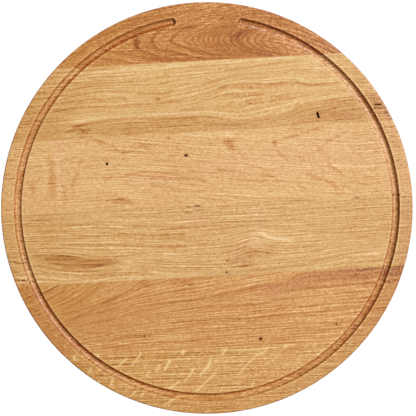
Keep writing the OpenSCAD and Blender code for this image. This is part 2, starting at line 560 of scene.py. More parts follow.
def arches(u, v):
    """Ring number of the top stave: nested arches that open to the right."""
    axis = -171 + 0.058 * np.clip(u + 60, -120, 150)
    dv = v - axis
    rho = np.interp(u, (-60, -20, 30, 70), (3.0, 3.5, 8.0, 11.0))
    low = np.interp(u, (-60, -30, 0), (1.7, 2.3, 3.0))
    kap = np.where(dv > 0, low, 2.6)
    arm = kap * (np.sqrt(dv ** 2 + rho ** 2) - rho) + 0.33 * np.clip(dv - 12, 0, None) ** 2
    U = u - arm
    mid = blob(u, v, 12, -168, 34, 13)
    U = U + mid * (1.5 * noise(v / 3.4, u / 22, 11) + 0.5 * noise(v / 1.9, u / 14, 12)) + 1.2 * noise(v / 12, u / 30, 13)
    tips = [-196, -182, -168, -156, -144, -133, -122, -112, -102, -93, -84, -75, -62, -45, -26, -14, -6, 0, 5, 10, 15, 20, 26, 33, 38, 43, 49, 56, 63, 70, 80, 91, 103, 116, 130]
    return np.interp(U, tips, np.arange(len(tips)) * 1.0), U, dv


def stave_1(w):
    """Red-brown, flat-sawn: nested arches that open to the right."""
    u, v = w.u, w.v
    w.ring, U, dv = arches(u, v)
    gu, gv = arches(u + 0.5, v)[0] - w.ring, arches(u, v + 0.5)[0] - w.ring
    steep = np.clip(2 * np.hypot(gu, gv), 0.03, 0.6)             # rings to the unit
    f = w.ring % 1
    thin = np.where(f < 0.5, np.exp(-f / steep / 1.10), np.exp(-((1 - f) / steep / 0.55) ** 2))
    reach = 0.16 + 0.54 * blob(u, v, 16, -168, 34, 14) + 0.62 * blob(u, v, 48, -166, 24, 13) + 0.06 * blob(u, v, -36, -168, 26, 14) + 0.24 * blob(u, v, 60, -153, 44, 6)
    w.calm = 0.9 * np.maximum(blob(u, v, 16, -167, 40, 14), blob(u, v, 48, -163, 26, 15))
    reach *= 1 - 0.6 * step01(74, 100, u)
    arcs = 1.5 * thin * reach * (0.8 + 0.35 * noise(u / 9, v / 5, 14))
    bend = np.clip(u - 40, 0, None)
    fan = v - (-168 + 0.0032 * bend ** 2)
    w.t = fan * 240 / np.clip(u + 250, 90, None)
    w.pore_amp += 0.35
    dark = blob(U, dv, 37, -4.5, 6.5, 8.5)
    w.tone -= 0.26 * dark
    w.hue += 0.9 * dark
    w.hue += 0.5 * step01(20, 110, u) - 0.8 * step01(-10, -110, u)
    smudge = blob(u, v, -61, -169.5, 3.4, 7.5, -8, 1.3)
    w.hue += 0.6 * smudge
    w.tone -= 0.34 * smudge + 0.06 * blob(u, v, -52, -172, 10, 7)
    w.tone += 0.05 * step01(-60, -110, u) + 0.05 * blob(u, v, 100, -160, 25, 9) - 0.03 * blob(u, v, 30, -152, 60, 5)
    w.lines([
        (0.42, 1.2, 3.0, [(-62, -172), (-61, -165), (-54, -159), (-40, -153.5), (-24, -150), (-6, -147.5)]),
        (0.56, 1.1, 2.5, [(-28, -183), (-38, -178), (-44, -172), (-45, -167), (-40, -161), (-28, -157.5), (-10, -152), (10, -147)]),
        (0.46, 1.1, 2.5, [(8, -184), (-10, -180), (-22, -174), (-26, -168), (-20, -163.5), (0, -157), (18, -151.5), (34, -147)]),
        (0.30, 1.0, 2.0, [(-96, -163), (-70, -156.5), (-40, -150.5), (-25, -147.5)]),
        (0.26, 1.0, 2.0, [(-104, -156), (-80, -151.5), (-62, -147.5)]),
        (0.30, 1.0, 1.5, [(50, -184), (37, -178), (33, -170), (34, -162), (44, -155.5), (60, -150.5), (80, -147.5)]),
        (0.34, 1.0, 1.5, [(58, -180), (45, -175), (41, -168), (44, -160), (56, -154.5), (74, -150), (92, -148)]),
        (0.24, 1.0, 1.5, [(66, -177), (53, -172), (49, -166), (53, -159), (66, -154), (84, -150)]),
        (0.22, 0.9, 1.2, [(72, -172), (64, -168), (62, -163), (68, -157.5), (84, -153)]),
        (0.20, 0.9, 1.2, [(80, -168), (74, -164), (76, -160), (90, -155)]),
        (0.24, 1.0, 2.0, [(-120, -166), (-96, -176), (-60, -188), (-20, -196), (10, -201)]),
        (0.20, 1.0, 2.0, [(-132, -157), (-112, -166), (-88, -176)]),
        (0.20, 1.0, 2.0, [(-100, -178), (-70, -189), (-30, -199)]),
        (0.22, 0.9, 1.5, [(62, -190), (86, -180), (110, -168), (132, -153)]),
        (0.16, 0.9, 1.5, [(46, -197), (80, -186), (104, -175)]),
        (0.26, 1.8, 0, [(-127, -155.5), (-118, -160.5), (-107, -165.5)]), (0.22, 1.4, 0, [(-112, -170), (-98, -177), (-84, -183)]), (0.20, 1.2, 0, [(-94, -168), (-80, -173.5), (-68, -179)]),
    ], 1)
    w.line = 1.75 * w.line + 1.2 * arcs
    w.pale([(0.20, 2.2, 0, [(-30, -196.5), (0, -201), (34, -200.5)]), (0.14, 2.0, 0, [(-70, -193), (-40, -199)]),
            (0.10, 2.5, 0, [(-100, -170), (-130, -152)])], 1)


def stave_2(w):
    """Pale, nearly straight, with long wandering lines and an open check at the right."""
    u, v = w.u, w.v
    B = [(-150, -129.5), (-130, -130), (-102, -131), (-84, -130.4), (-65, -131.5), (-46, -132.5), (-29, -134), (0, -135), (25, -135.6), (50, -138), (69, -139.4), (87, -141), (106, -141), (150, -140)]
    D = [(-160, -115), (-140, -117), (-115, -120), (-96, -121), (-77, -120), (-40, -116.5), (-24, -119.4), (0, -123), (10, -126), (25, -129), (37, -130.6), (56, -131), (87, -132), (100, -132.5), (112, -131), (160, -128)]
    F = [(-175, -104), (-149, -105), (-120, -107), (-90, -106), (-65, -107), (-40, -107), (-15, -108.8), (0, -112.5), (7.5, -113), (16, -117), (22, -119.4), (31, -120.6), (44, -121), (67, -119.4), (85, -120), (97, -118.8), (109, -116.3), (132, -117), (144, -118.8), (170, -118)]
    E = [(-180, -97), (-100, -99), (-40, -99), (0, -99.4), (37, -98.8), (50, -101), (65, -102.5), (87, -106), (125, -109), (175, -108)]
    H = [(-190, -86), (-132, -88), (-115, -90), (-90, -92.3), (-65, -93), (-40, -91.5), (0, -91.3), (10, -90), (20, -87.5), (30, -85.6), (42, -85), (56, -85.6), (75, -89.4), (85, -90.6), (92, -92.5), (100, -96.3), (109, -98), (120, -99.4), (150, -102), (180, -103)]
    w.t = flow(u, v, [[(0, -149)], B, D, F, E, H, [(0, -72)]])
    w.ring = w.t / 5.2 + 0.5 * noise(u / 60, w.t / 9, 21)
    w.ring_amp = 0.8 + 0.4 * noise(u / 70, v / 8, 22)
    w.lines([
        (0.50, 1.15, 2.2, B[1:7]), (0.34, 1.0, 1.8, [(-119, -142.5), (-102, -143), (-84, -144.4)]),
        (0.30, 1.0, 1.5, [(-130, -124), (-112, -127.5), (-90, -128.5)]),
        (0.38, 1.1, 2.0, D[1:7]), (0.34, 1.1, 1.8, [(0, -123), (10, -126), (25, -129), (37, -130.6), (56, -131), (87, -132), (100, -132.5), (112, -131)]),
        (0.42, 1.1, 2.0, [(-142, -112.5), (-120, -113), (-109, -114.4), (-96, -112.8), (-84, -114.4), (-70, -113)]),
        (0.55, 1.2, 2.4, F[1:7]), (0.52, 1.2, 2.4, F[6:15]), (0.44, 1.1, 2.2, F[13:19]),
        (0.38, 1.1, 2.0, [(25, -135.6), (50, -138), (69, -139.4), (87, -141), (106, -141)]),
        (0.32, 1.0, 1.8, [(41, -108.8), (60, -110), (75, -107), (95, -107.5), (125, -110), (150, -109.4)]),
        (0.34, 1.0, 1.8, [(-24, -98.6), (0, -99.4), (37, -98.8), (50, -101), (65, -102.5), (87, -106)]),
        (0.60, 1.25, 2.6, H[1:7]), (0.44, 1.1, 2.0, H[6:13]), (0.60, 1.15, 2.2, H[12:]),
        (0.22, 0.9, 1.6, [(112, -90), (125, -91), (144, -94), (160, -95)]),
        (0.20, 0.9, 1.4, [(104, -84), (125, -82), (150, -80.5)]),
        (0.30, 0.9, 1.2, [(112, -128.4), (124, -127.8), (134, -128.6)]),
        (0.26, 0.9, 1.6, [(-60, -125), (-40, -126), (-20, -127.5), (0, -128)]),
        (0.26, 0.9, 1.6, [(-90, -104), (-60, -103.4), (-30, -103.6)]),
        (0.24, 0.9, 1.6, [(-140, -100.5), (-110, -101.5), (-80, -100.4)]),
        (0.24, 0.9, 1.4, [(-70, -83), (-40, -84.5), (-10, -83)]),
        (0.22, 0.9, 1.4, [(-40, -139), (-15, -140.5), (10, -141)]),
        (0.80, 1.5, 0.8, [(-131, -88.5), (-121, -88.6), (-112, -90)]), (0.78, 1.3, 0.8, [(-126, -86.5), (-117, -84), (-110, -84.6)]),
        (0.64, 1.3, 0.8, [(-138, -82.5), (-130, -84.5), (-124, -86)]), (0.60, 1.2, 0.8, [(-124, -80.6), (-118, -81.5), (-113, -80.6)]),
        (0.55, 1.2, 0.6, [(-123, -77), (-118.5, -77.4)]), (0.45, 1.1, 0.6, [(-97, -75.8), (-91, -75.5)]),
        (0.22, 0.9, 1.2, [(-190, -92), (-172, -94), (-158, -96)]), (0.45, 0.9, 1.0, [(-184, -103.5), (-170, -104), (-158, -104.4)]),
        (0.35, 0.9, 1.0, [(-176, -110), (-166, -110.5)]), (0.35, 0.9, 1.0, [(-168, -122.5), (-158, -123.5), (-150, -123)]),
        (0.30, 0.9, 1.0, [(-172, -115), (-160, -116)]), (0.35, 0.9, 1.0, [(162, -105.5), (174, -105)]),
        (0.35, 0.9, 1.2, [(150, -118), (164, -120)]), (0.35, 0.9, 1.2, [(138, -142.5), (146, -141)]),
        (0.85, 0.7, 0.4, [(171, -94), (177, -94.4), (181, -94)]), (0.22, 0.9, 0.6, [(180, -86), (186, -85.4)]),
    ], 2)
    w.pale([
        (0.22, 2.6, 0, [(-118, -139), (-80, -141), (-40, -144), (0, -145), (40, -145)]), (0.14, 2.0, 0, [(40, -125), (80, -126), (120, -125)]),
        (0.16, 1.6, 0, [(-30, -113.5), (-10, -114.5), (8, -119)]), (0.14, 1.5, 0, [(-60, -97), (-20, -96.4), (20, -95)]),
        (0.12, 1.5, 0, [(-130, -116.4), (-90, -117.4), (-60, -117)]), (0.14, 1.6, 0, [(80, -124), (110, -122), (140, -122)]),
        (0.16, 1.4, 0, [(0, -145.5), (60, -145), (118, -144.6)]), (0.10, 1.6, 0, [(70, -104), (110, -103.6), (150, -105)]),
        (0.16, 1.5, 0, [(-118, -79), (-108, -78.6), (-100, -77.6)]), (0.16, 1.4, 0, [(-140, -80.6), (-128, -80.4)]),
    ], 2)
    Hv = np.interp(u, *smooth(H).T)
    below = step01(0.5, 2.5, v - Hv) * (1 - step01(-78, -75.6, v))
    w.tone -= below * (0.14 * step01(-118, -96, u) + 0.05)
    w.hue += 1.0 * blob(u, v, 36, -80.5, 24, 4.5) + 0.5 * blob(u, v, 132, -86, 24, 6) - 0.3 * below * blob(u, v, -50, -84, 60, 9)
    w.tone -= 0.19 * blob(u, v, -121, -85, 16, 5.5, 0, 1.5)
    w.calm = np.maximum(w.calm, 0.4 * blob(u, v, 145, -86, 36, 9))
    w.tone -= 0.17 * blob(u, v, 130, -85.5, 24, 5) + 0.04 * blob(u, v, 36, -80.5, 22, 4)
    w.tone -= 0.16 * blob(u, v, 22, -117.5, 7, 2.4, -20) + 0.10 * blob(u, v, 50, -112, 26, 4) + 0.08 * blob(u, v, 10, -138, 30, 5)
    w.tone -= 0.10 * step01(150, 176, np.hypot(u, v)) * (u < -80)
    w.tone += 0.05 * step01(-120, -145, v) - 0.08 * step01(-110, -165, u)
    w.line += 1.3 * blob(u, v, -43, -110.8, 2.4, 1.0, 0, 1.6) + 1.5 * blob(u, v, 48.5, -101.6, 2.6, 0.9, 8, 1.6)
    w.line += 0.25 * blob(u, v, 54, -102.5, 8, 1.0, 8) + 0.22 * blob(u, v, -43, -110.8, 4.5, 1.5)
    w.hue += 0.5 * blob(u, v, 90, -133, 40, 3)
    w.tone -= 0.05 * blob(u, v, -40, -91.5, 44, 1.6, 1, 1.4)
    w.marks([(0.30, 0.8, [(-45, -110.6), (-43, -110.9), (-41, -110.7)]), (0.52, 0.85, [(46.4, -101.9), (48.5, -101.6), (50.8, -101.2)])], 2)


def stave_3(w):
    """Pale and flat-sawn: short pore dashes, blotches where the rings touch the face, pin holes."""
    u, v = w.u, w.v
    lean = 0.115 * np.clip(u + 85, 0, 235) - 0.0004 * np.clip(u - 60, 0, None) ** 2 * 0.2
    w.t = v - lean + 1.2 * noise(u / 80, v / 25, 31)
    w.ring = (w.t + 9 * noise(u / 85, v / 30, 32)) / 7.5
    w.ring_amp = 0.42 + 0.3 * noise(u / 50, v / 14, 33)
    w.pore_amp += 0.25
    o = 0.9
    w.lines([
        (0.25, 2.6, 0, [(-153, -62), (-152, -44), (-153, -28), (-153, -15)]), (0.28, 2.0, 0, [(-174, -35), (-172, -29), (-171.5, -22)]),
        (0.15, 2.2, 0, [(-140, -32), (-140.5, -20), (-140, -9)]), (0.22, 2.0, 0, [(-126, -46), (-130, -36), (-132.5, -28), (-131, -20)]),
        (0.11, 1.5, 2.4, [(-60, -36), (-36, -35.4), (-15, -33), (0, -27), (12, -17.5)]), (0.14, 1.2, 1.6, [(100, -28.6), (118, -23.4), (133, -15), (141, -8.6)]), (0.10, 1.2, 1.6, [(126, -34), (150, -27), (168, -20), (176, -13)]),
        (0.20, 1.6, 0, [(-127, -46), (-124, -52), (-116, -56)]),
        (0.34, 1.3, 1.5, [(-111, -77.5), (-106, -73), (-101, -71), (-94, -68.5), (-89, -66), (-86, -61)]), (0.36, 1.2, 1.5, [(-90, -62.5), (-79, -60), (-66, -60), (-54, -58)]),
        (0.40, 2.6, 0, [(-103, -72.5), (-100, -70)]), (0.34, 2.4, 0, [(-66, -67), (-58, -64.5), (-52, -62.5)]), (0.30, 2.4, 0, [(-37, -72.5), (-30, -71)]),
        (0.30, 1.2, -1.5, [(-104, -34), (-84, -36), (-70, -38), (-60, -39.4), (-41, -37.5), (-29, -35), (-16, -31), (0, -30)]),
        (0.28, 1.1, 1.5, [(-84, -35), (-66, -35.5), (-48, -33.5), (-30, -31), (-14, -29), (6, -25)]),
        (0.24, 1.3, 0, [(-98, -17), (-92, -18.4), (-86, -17.5)]), (0.26, 2.4, 0, [(-97, -10), (-86, -12.5), (-76, -9.5), (-70, -8)]),
        (0.44, 2.6, 0, [(18, -67), (24, -64.5), (27, -61), (31, -56.5)]), (0.30, 1.6, 0, [(22, -68), (30, -66.5), (36, -68.5)]), (0.22, 1.6, 0, [(34, -54), (38, -51), (42, -48)]),
        (0.50, 1.8, 0, [(71, -64.5), (70.5, -61), (72, -58.5)]), (0.42, 1.2, 0.8, [(68, -62.5), (78, -64), (90, -66.5), (98, -67)]), (0.30, 1.1, 1.0, [(98, -69), (107, -71.5), (120, -74)]),
        (0.30, 1.5, 0, [(73, -57), (75, -51.5), (79, -47), (83, -43), (87, -40)]),
        (0.30, 2.2, 0, [(112, -54), (117, -51.5), (121, -51)]), (0.26, 1.5, 0, [(120, -57), (126, -61), (134, -65), (146, -68.5)]),
        (0.32, 1.5, 1.0, [(120, -40), (127, -34), (133, -29.5), (140, -25)]),
        (0.34, 1.4, 1.0, [(100, -28), (108, -24.5), (116, -21.5), (124, -18), (130, -13), (136, -10)]), (0.24, 1.4, 0, [(137, -15), (143, -12)]),
        (0.34, 0.9, o, [(57, -30), (64, -28.6), (71, -27.3)]), (0.34, 0.9, o, [(66, -25), (74, -23.4), (82, -22)]), (0.30, 0.9, o, [(90, -18.5), (96, -15.6), (103, -12.3)]),
        (0.28, 0.9, o, [(-14, -49.5), (-4, -47.5), (9, -45)]), (0.30, 0.9, o, [(12, -38), (26, -36), (40, -34.6)]), (0.28, 0.9, o, [(40, -41), (50, -38.5), (60, -35.5), (74, -33)]),
        (0.28, 0.9, o, [(0, -13), (22, -11), (44, -7.5), (70, -5.5), (105, -3.6)]), (0.26, 0.9, o, [(-40, -20), (-20, -18.4), (0, -15.4)]),
        (0.28, 0.9, o, [(-118, -57), (-104, -56), (-88, -55)]), (0.26, 0.9, o, [(-95, -47), (-78, -46.5), (-62, -44)]), (0.22, 0.9, o, [(-50, -50), (-36, -49), (-22, -47.5)]),
        (0.28, 0.9, o, [(-60, -28), (-44, -25), (-30, -22)]), (0.26, 0.9, o, [(-22, -26), (-10, -24), (4, -20.6)]), (0.24, 0.9, o, [(-10, -11), (10, -8), (30, -5)]),
        (0.30, 1.0, o, [(-40, -53.2), (-28, -54), (-20, -54.2)]), (0.24, 0.9, o, [(-12, -53.4), (-2, -52), (8, -50)]),
        (0.24, 0.9, o, [(120, -43), (132, -41.5), (144, -40.5)]), (0.24, 1.4, 0, [(168, -50), (174, -46)]), (0.22, 1.2, 0, [(164, -60), (172, -58)]),
        (0.26, 1.0, o, [(150, -17), (164, -13.5)]), (0.24, 1.0, o, [(120, -9), (134, -6.5), (150, -5.4)]),
        (0.30, 1.2, 0, [(186, -62), (192, -60)]), (0.26, 1.2, 0, [(190, -38), (198, -37.4)]), (0.28, 1.2, 0, [(-198, -58), (-188, -58.6)]), (0.30, 1.0, 0, [(-200, -44), (-188, -44.6)]),
        (0.62, 1.2, 0, [(148, -2.2), (153, -1.6)]),
        (0.60, 1.1, 0, [(-14, -2.8), (-9, -3), (-6, -2.6)]), (0.34, 1.1, 0, [(-25, -0.5), (-18, -2), (-12, -0.2)]), (0.16, 1.0, 0, [(-22, -6), (-12, -5.4), (-2, -4.6)]),
    ], 3)
    w.line *= 1.7
    for cu, cv, ru, rv, a in ((0, -74, 60, 2.2, 0.10), (-120, -64, 12, 3, 0.10), (90, -35, 20, 3, 0.08), (60, -40, 14, 2.4, 0.10), (-60, -42, 22, 2.6, 0.12), (-110, -28, 16, 3, 0.10),
                              (10, -58, 20, 3, 0.06), (45, -14, 18, 2.5, 0.08), (-160, -50, 5, 12, 0.05), (140, -34, 10, 3, 0.08), (-75, -20, 12, 2.5, 0.12), (130, -71, 8, 3, 0.08)):
        w.tone += a * blob(u, v, cu, cv, ru, rv, 6 if cu > -80 else 0)
    w.tone -= 0.10 * blob(u, v, -84, -11, 16, 6) + 0.07 * blob(u, v, 110, -74, 40, 3) + 0.06 * blob(u, v, -45, -66, 26, 6) + 0.06 * step01(-140, -180, u)
    w.hue += 1.0 * blob(u, v, -145, -62, 5, 12) + 0.8 * blob(u, v, -146, -30, 4, 16) + 0.8 * blob(u, v, -50, -32, 34, 3.5) + 0.6 * blob(u, v, 10, -40, 50, 12) + 0.5 * blob(u, v, 90, -45, 60, 20)
    w.tone += 0.06 * blob(u, v, -145, -64, 5, 8)
    rust = blob(u, v, 26.5, -62, 4.2, 6.5, -35, 1.3) + 0.8 * blob(u, v, 71, -61.5, 2.6, 4.0, 0, 1.3) + 0.5 * blob(u, v, 33, -66, 6, 2.2) + 0.5 * blob(u, v, -101.5, -71.5, 5, 2.4, 35)
    w.tone -= 0.03 * rust
    w.line += 0.46 * rust


def stave_4(w):
    """Pale and straight, with a dark lens, a small overgrown knot and rings that sweep round it."""
    u, v = w.u, w.v
    F1 = [(-210, 9), (-150, 9), (-100, 11), (-50, 15), (0, 14.5), (41, 15), (100, 16), (210, 16)]
    F2 = [(-210, 26), (-147, 28.9), (-112, 30.8), (-81, 32.6), (-66, 34.5), (-22, 36.8), (10, 36.6), (24, 35.4), (34, 32.4), (44, 30.2), (52, 31.2), (62, 34), (75, 35.6), (90, 36), (120, 36), (210, 35)]
    F3 = [(-210, 41), (-178, 38), (-143, 40), (-118, 45.5), (-93, 47), (-60, 46), (-22, 48.5), (10, 49.5), (24, 47.5), (36, 43.6), (48, 43), (60, 45.5), (75, 47), (100, 46.5), (125, 45), (150, 44), (210, 42)]
    F4 = [(-210, 52), (-175, 51), (-143, 56), (-118, 57), (-93, 53), (-70, 55), (-40, 60), (0, 62), (35, 64), (62, 63.3), (81, 62), (100, 60), (112, 58.3), (125, 56.4), (144, 54), (210, 52)]
    w.t = flow(u, v, [[(0, -6)], F1, F2, F3, F4, [(0, 71)]])
    w.ring = w.t / 4.6 + 0.5 * noise(u / 70, w.t / 9, 41)
    w.ring_amp = 0.8 + 0.5 * noise(u / 60, v / 7, 42)
    w.pore_amp += 0.15
    w.lines([
        (0.62, 0.9, 0.9, [(-141, 18.3), (-118, 21.4), (-75, 22.6), (-56, 24.3), (-30, 24.6), (-21, 24.8)]), (0.46, 0.9, 0.9, [(-147, 28.9), (-112, 30.8), (-81, 32.6), (-66, 34.5), (-22, 36.8)]),
        (0.34, 0.9, 0.9, [(-78, 13.9), (-56, 15), (-37, 17), (-18, 17)]), (0.36, 0.9, 0.9, [(-50, 28), (-34, 28.3), (-21, 28.3)]),
        (0.36, 0.9, 0.9, [(-176, 2.6), (-163, 3.4), (-150, 4.5)]), (0.30, 0.9, 1.0, [(-181, 8.3), (-140, 9), (-106, 9.5)]), (0.28, 0.9, 1.0, [(-176, 14), (-150, 15), (-128, 16.5)]),
        (0.28, 0.9, 1.0, [(-180, 19), (-160, 20), (-148, 21)]), (0.30, 0.9, 1.0, [(-172, 26.5), (-158, 27.6)]), (0.30, 0.9, 1.0, [(-100, 16), (-84, 17.5)]), (0.26, 0.9, 1.0, [(-60, 20), (-40, 21)]),
        (0.26, 0.9, 1.0, [(-64, 40), (-40, 41.5), (-22, 43.5)]), (0.26, 0.9, 1.0, [(-60, 49), (-36, 52), (0, 55)]), (0.24, 0.9, 1.0, [(-52, 57), (-20, 60), (6, 62)]),
        (0.30, 1.2, 3.5, [(-178, 38), (-160, 38), (-143, 40), (-118, 45.5), (-104, 46.5), (-93, 47)]),
        (0.42, 1.0, -1.2, [(-150, 50.5), (-138, 52.5), (-120, 53), (-104, 51.5)]), (0.34, 1.0, 0, [(-175, 48), (-158, 51.5), (-143, 54.8), (-112, 56.8), (-98, 55)]),
        (0.30, 1.0, 0, [(-140, 60), (-115, 61), (-96, 59)]), (0.26, 1.0, 0.8, [(-176, 58), (-164, 61), (-150, 64.6)]), (0.24, 1.0, 0.8, [(-172, 52), (-160, 57), (-146, 60.5)]),
        (0.30, 1.0, 0.8, [(-92, 61), (-70, 60), (-52, 63)]),
        (0.85, 0.85, 0.6, [(-202, 42), (-190, 44.6), (-179, 46.6)]), (0.50, 0.9, 0.6, [(-204, 37), (-196, 38.4)]), (0.72, 0.9, 0.6, [(-197, 59.5), (-188, 62), (-178, 64.5)]), (0.50, 0.9, 0.6, [(-198, 52), (-190, 54)]),
        (0.36, 0.9, 1.0, [(0, 5.1), (20, 5.6), (41, 5.5)]), (0.34, 0.9, 1.0, [(60, 4.4), (72, 4), (81, 4.1)]), (0.30, 0.9, 1.0, [(0, 14.3), (20, 14.6), (41, 15)]), (0.30, 0.9, 0.8, [(74, 16), (92, 17), (100, 17.3)]),
        (0.26, 0.9, 0.8, [(0, 21), (26, 20.6), (46, 20)]), (0.26, 0.9, 0.8, [(64, 22), (90, 23), (120, 22.4)]), (0.24, 0.9, 0.8, [(90, 28), (120, 28.5), (150, 28)]), (0.24, 0.9, 0.8, [(100, 10), (130, 11), (160, 10)]),
        (0.24, 0.9, 0.8, [(120, 40), (140, 37.5), (160, 37)]), (0.22, 0.9, 0.8, [(140, 17), (160, 18.5), (178, 18)]), (0.26, 0.9, 0.8, [(146, 27), (166, 28)]),
        (0.46, 0.75, 0, [(24, 36), (32, 33.4), (41, 30.2)]), (0.42, 0.75, 0, [(24, 40.4), (32, 37.8), (41, 34.8)]), (0.40, 0.75, 0, [(25, 44), (32, 42), (40, 39.8)]), (0.34, 0.75, 0, [(22, 48), (30, 45.8), (38, 43)]),
        (0.18, 1.6, 0, [(44, 48.6), (49, 48.6), (54, 49.6)]), (0.12, 1.4, 0, [(35, 48.4), (42, 47.4), (48, 46)]), (0.16, 1.8, 0, [(30, 60.5), (35, 60), (40, 59.4)]), (0.16, 1.2, 0, [(54, 46), (60, 49.5), (66, 50.4)]),
        (0.32, 1.0, 1.6, [(35, 64), (50, 64), (62, 63.3), (81, 62), (100, 60)]), (0.36, 1.0, 1.2, [(98, 60.4), (112, 58.3), (125, 56.4), (144, 54), (156, 53)]),
        (0.26, 0.9, 1.0, [(66, 50.6), (80, 50.5), (100, 49.5), (118, 46.8)]), (0.24, 0.9, 0.8, [(70, 45), (90, 44.6), (110, 42)]), (0.24, 0.9, 0.8, [(60, 56), (84, 55.4), (104, 53)]),
        (0.28, 1.4, 0, [(196, 45), (203, 45)]), (0.34, 1.0, 0, [(192, 50), (200, 50.6)]), (0.28, 1.0, 0, [(160, 46), (176, 47)]),
        (0.42, 0.9, 0.8, [(-160, 46.5), (-140, 49.4), (-120, 50.6), (-102, 50)]), (0.40, 0.8, 0.6, [(-132, 46.2), (-116, 46.4), (-98, 46.6)]), (0.34, 0.8, 0.6, [(-166, 41.6), (-150, 43.6), (-132, 44)]),
        (0.30, 0.8, 0.6, [(-158, 39.6), (-142, 40.4), (-126, 42)]), (0.40, 0.9, 0, [(146, -2.3), (150, -2.1), (154, -1.7)]),
        (0.85, 1.1, 0, [(-14, -2.8), (-9, -3), (-6, -2.6)]), (0.50, 1.1, 0, [(-25, -0.5), (-18, -2), (-12, -0.2)]), (0.44, 1.0, 0, [(-24, 4.2), (-18, 3.4), (-12, 4.6)]), (0.34, 1.0, 0, [(-12, 1.4), (-6, 1.8)]),
    ], 4)
    w.marks([(0.46, 1.1, [(146.5, -2.3), (150, -2.1), (153.5, -1.7)]), (0.86, 1.15, [(-12.5, -2.9), (-9, -2.7), (-5.5, -2.6)]), (0.34, 0.9, [(-20, -2.4), (-17.5, -2.6), (-15.5, -2.6)]), (0.30, 1.1, [(-13, 0.8), (-8, 1.0), (-2, 1.4)]), (0.20, 0.9, [(-24, 4), (-18, 3.4), (-13, 4.4)]),
             (0.28, 0.8, [(-202, 42), (-190, 44.6), (-179, 46.6)]), (0.22, 0.8, [(-197, 59.5), (-188, 62), (-178, 64.5)])], 4)
    w.tone -= 0.07 * step01(-60, -40, u) * (1 - step01(-22.5, -21, u)) * step01(15.5, 17, v) * (1 - step01(27, 29, v))
    lens = blob(u, v, -131, 47.5, 41, 8.2, 5, 1.4)
    w.tone -= 0.19 * lens + 0.09 * blob(u, v, -122, 48.5, 20, 3.0, 1, 1.3) + 0.10 * blob(u, v, -146, 42.5, 22, 4, 2, 1.3)
    tail = blob(u, v, -101, 50.6, 17, 3.4, -4, 1.3)
    w.tone -= 0.15 * tail + 0.08 * blob(u, v, -166, 39.6, 15, 3.4, 4) + 0.03 * blob(u, v, -140, 46.5, 24, 4.6, 4) + 0.06 * blob(u, v, -134, 56, 22, 2.6, 2)
    w.calm = np.maximum(np.maximum(0.7 * lens, 0.6 * tail), 0.2 * blob(u, v, 31, 53, 11, 5.5, -15))
    w.hue += 0.3 * blob(u, v, -112, 50, 16, 4) - 0.2 * lens
    w.tone -= 0.10 * blob(u, v, -150, 41, 18, 3) + 0.08 * blob(u, v, -100, 62, 24, 3)
    w.pale([
        (0.34, 1.0, 0, [(-118, 54.6), (-106, 54), (-96, 52.5), (-86, 50.4)]), (0.30, 1.8, 0, [(-90, 47.5), (-80, 49.5), (-76, 50)]), (0.16, 1.4, 0, [(-175, 34), (-140, 35), (-100, 39), (-80, 41)]),
        (0.12, 1.4, 0, [(-140, 26), (-100, 27), (-60, 30)]), (0.14, 1.6, 0, [(-176, 55), (-160, 62), (-130, 65.4), (-60, 66.4), (-10, 66.4)]), (0.42, 1.8, 0, [(47, 25), (54, 28), (62, 33.4), (75, 36), (87, 37.2)]),
        (0.16, 1.3, 0, [(46, 22), (56, 25.4), (72, 28)]), (0.22, 1.1, 0, [(104, 61.5), (118, 59.6), (132, 57), (146, 55.6)]), (0.18, 1.1, 0, [(80, 65.5), (104, 64.5), (124, 61.5), (140, 58.5)]),
        (0.22, 1.0, 0, [(130, 64), (142, 60.5), (160, 58.6)]), (0.20, 1.1, 0, [(158, 54), (168, 56), (176, 58)]), (0.18, 1.0, 0, [(24, 38.2), (32, 35.6), (41, 32.6)]), (0.16, 1.0, 0, [(25, 42.2), (32, 40), (40, 37.3)]),
        (0.24, 1.0, 0, [(168, 66), (178, 66.6), (190, 66.6)]), (0.16, 1.4, 0, [(100, 66.6), (130, 66.8)]), (0.16, 1.4, 0, [(166, 1.5), (180, 3)]), (0.10, 2.0, 0, [(-70, 8), (-50, 9), (-30, 9)]),
    ], 4)
    w.tone += 0.26 * blob(u, v, -84, 55, 6.5, 2.6) + 0.12 * blob(u, v, -40, 43, 8, 3) + 0.10 * blob(u, v, -84, 40, 5, 3) + 0.05 * blob(u, v, 170, 55, 16, 8)
    w.hue += 0.5 * blob(u, v, -84, 44, 8, 5) + 0.6 * blob(u, v, -8, 10, 16, 12) + 0.6 * blob(u, v, -10, 25, 10, 12)
    knot = blob(u, v, 31, 53, 11, 5.5, -15)
    w.dust = 0.36 * knot + 0.22 * blob(u, v, 47, 38, 6, 5)
    w.tone -= 0.06 * knot
    w.hue += 1.2 * knot + 1.0 * blob(u, v, 47, 38, 6, 5) + 0.8 * blob(u, v, 31, 39, 9, 7) + 0.5 * blob(u, v, 50, 14, 10, 14)
    w.line += 0.55 * knot * (0.5 + 0.5 * noise(u / 2.0 + 3, v / 1.4, 44)) ** 1.5
    w.tone += 0.13 * knot * noise(u / 1.7, v / 1.4, 46) + 0.16 * blob(u, v, 47, 40, 6, 6) * (0.5 + 0.5 * noise(u / 1.8, v / 1.5, 45))
    w.tone -= 0.08 * knot + 0.07 * blob(u, v, 42.5, 46.4, 6.5, 3.4, 0, 1.4) + 0.05 * blob(u, v, 58, 47.5, 9, 3.8, 0, 1.3) + 0.05 * blob(u, v, 34, 60, 6, 2.6, 0, 1.3) - 0.10 * blob(u, v, 62, 30.5, 24, 5, 12)
    w.line += 0.36 * blob(u, v, 44, 46.5, 9, 4.2, 0, 1.4) + 0.26 * blob(u, v, 58, 48, 9, 4.0, 0, 1.3) + 0.24 * blob(u, v, 34, 60, 6, 2.8, 0, 1.3)
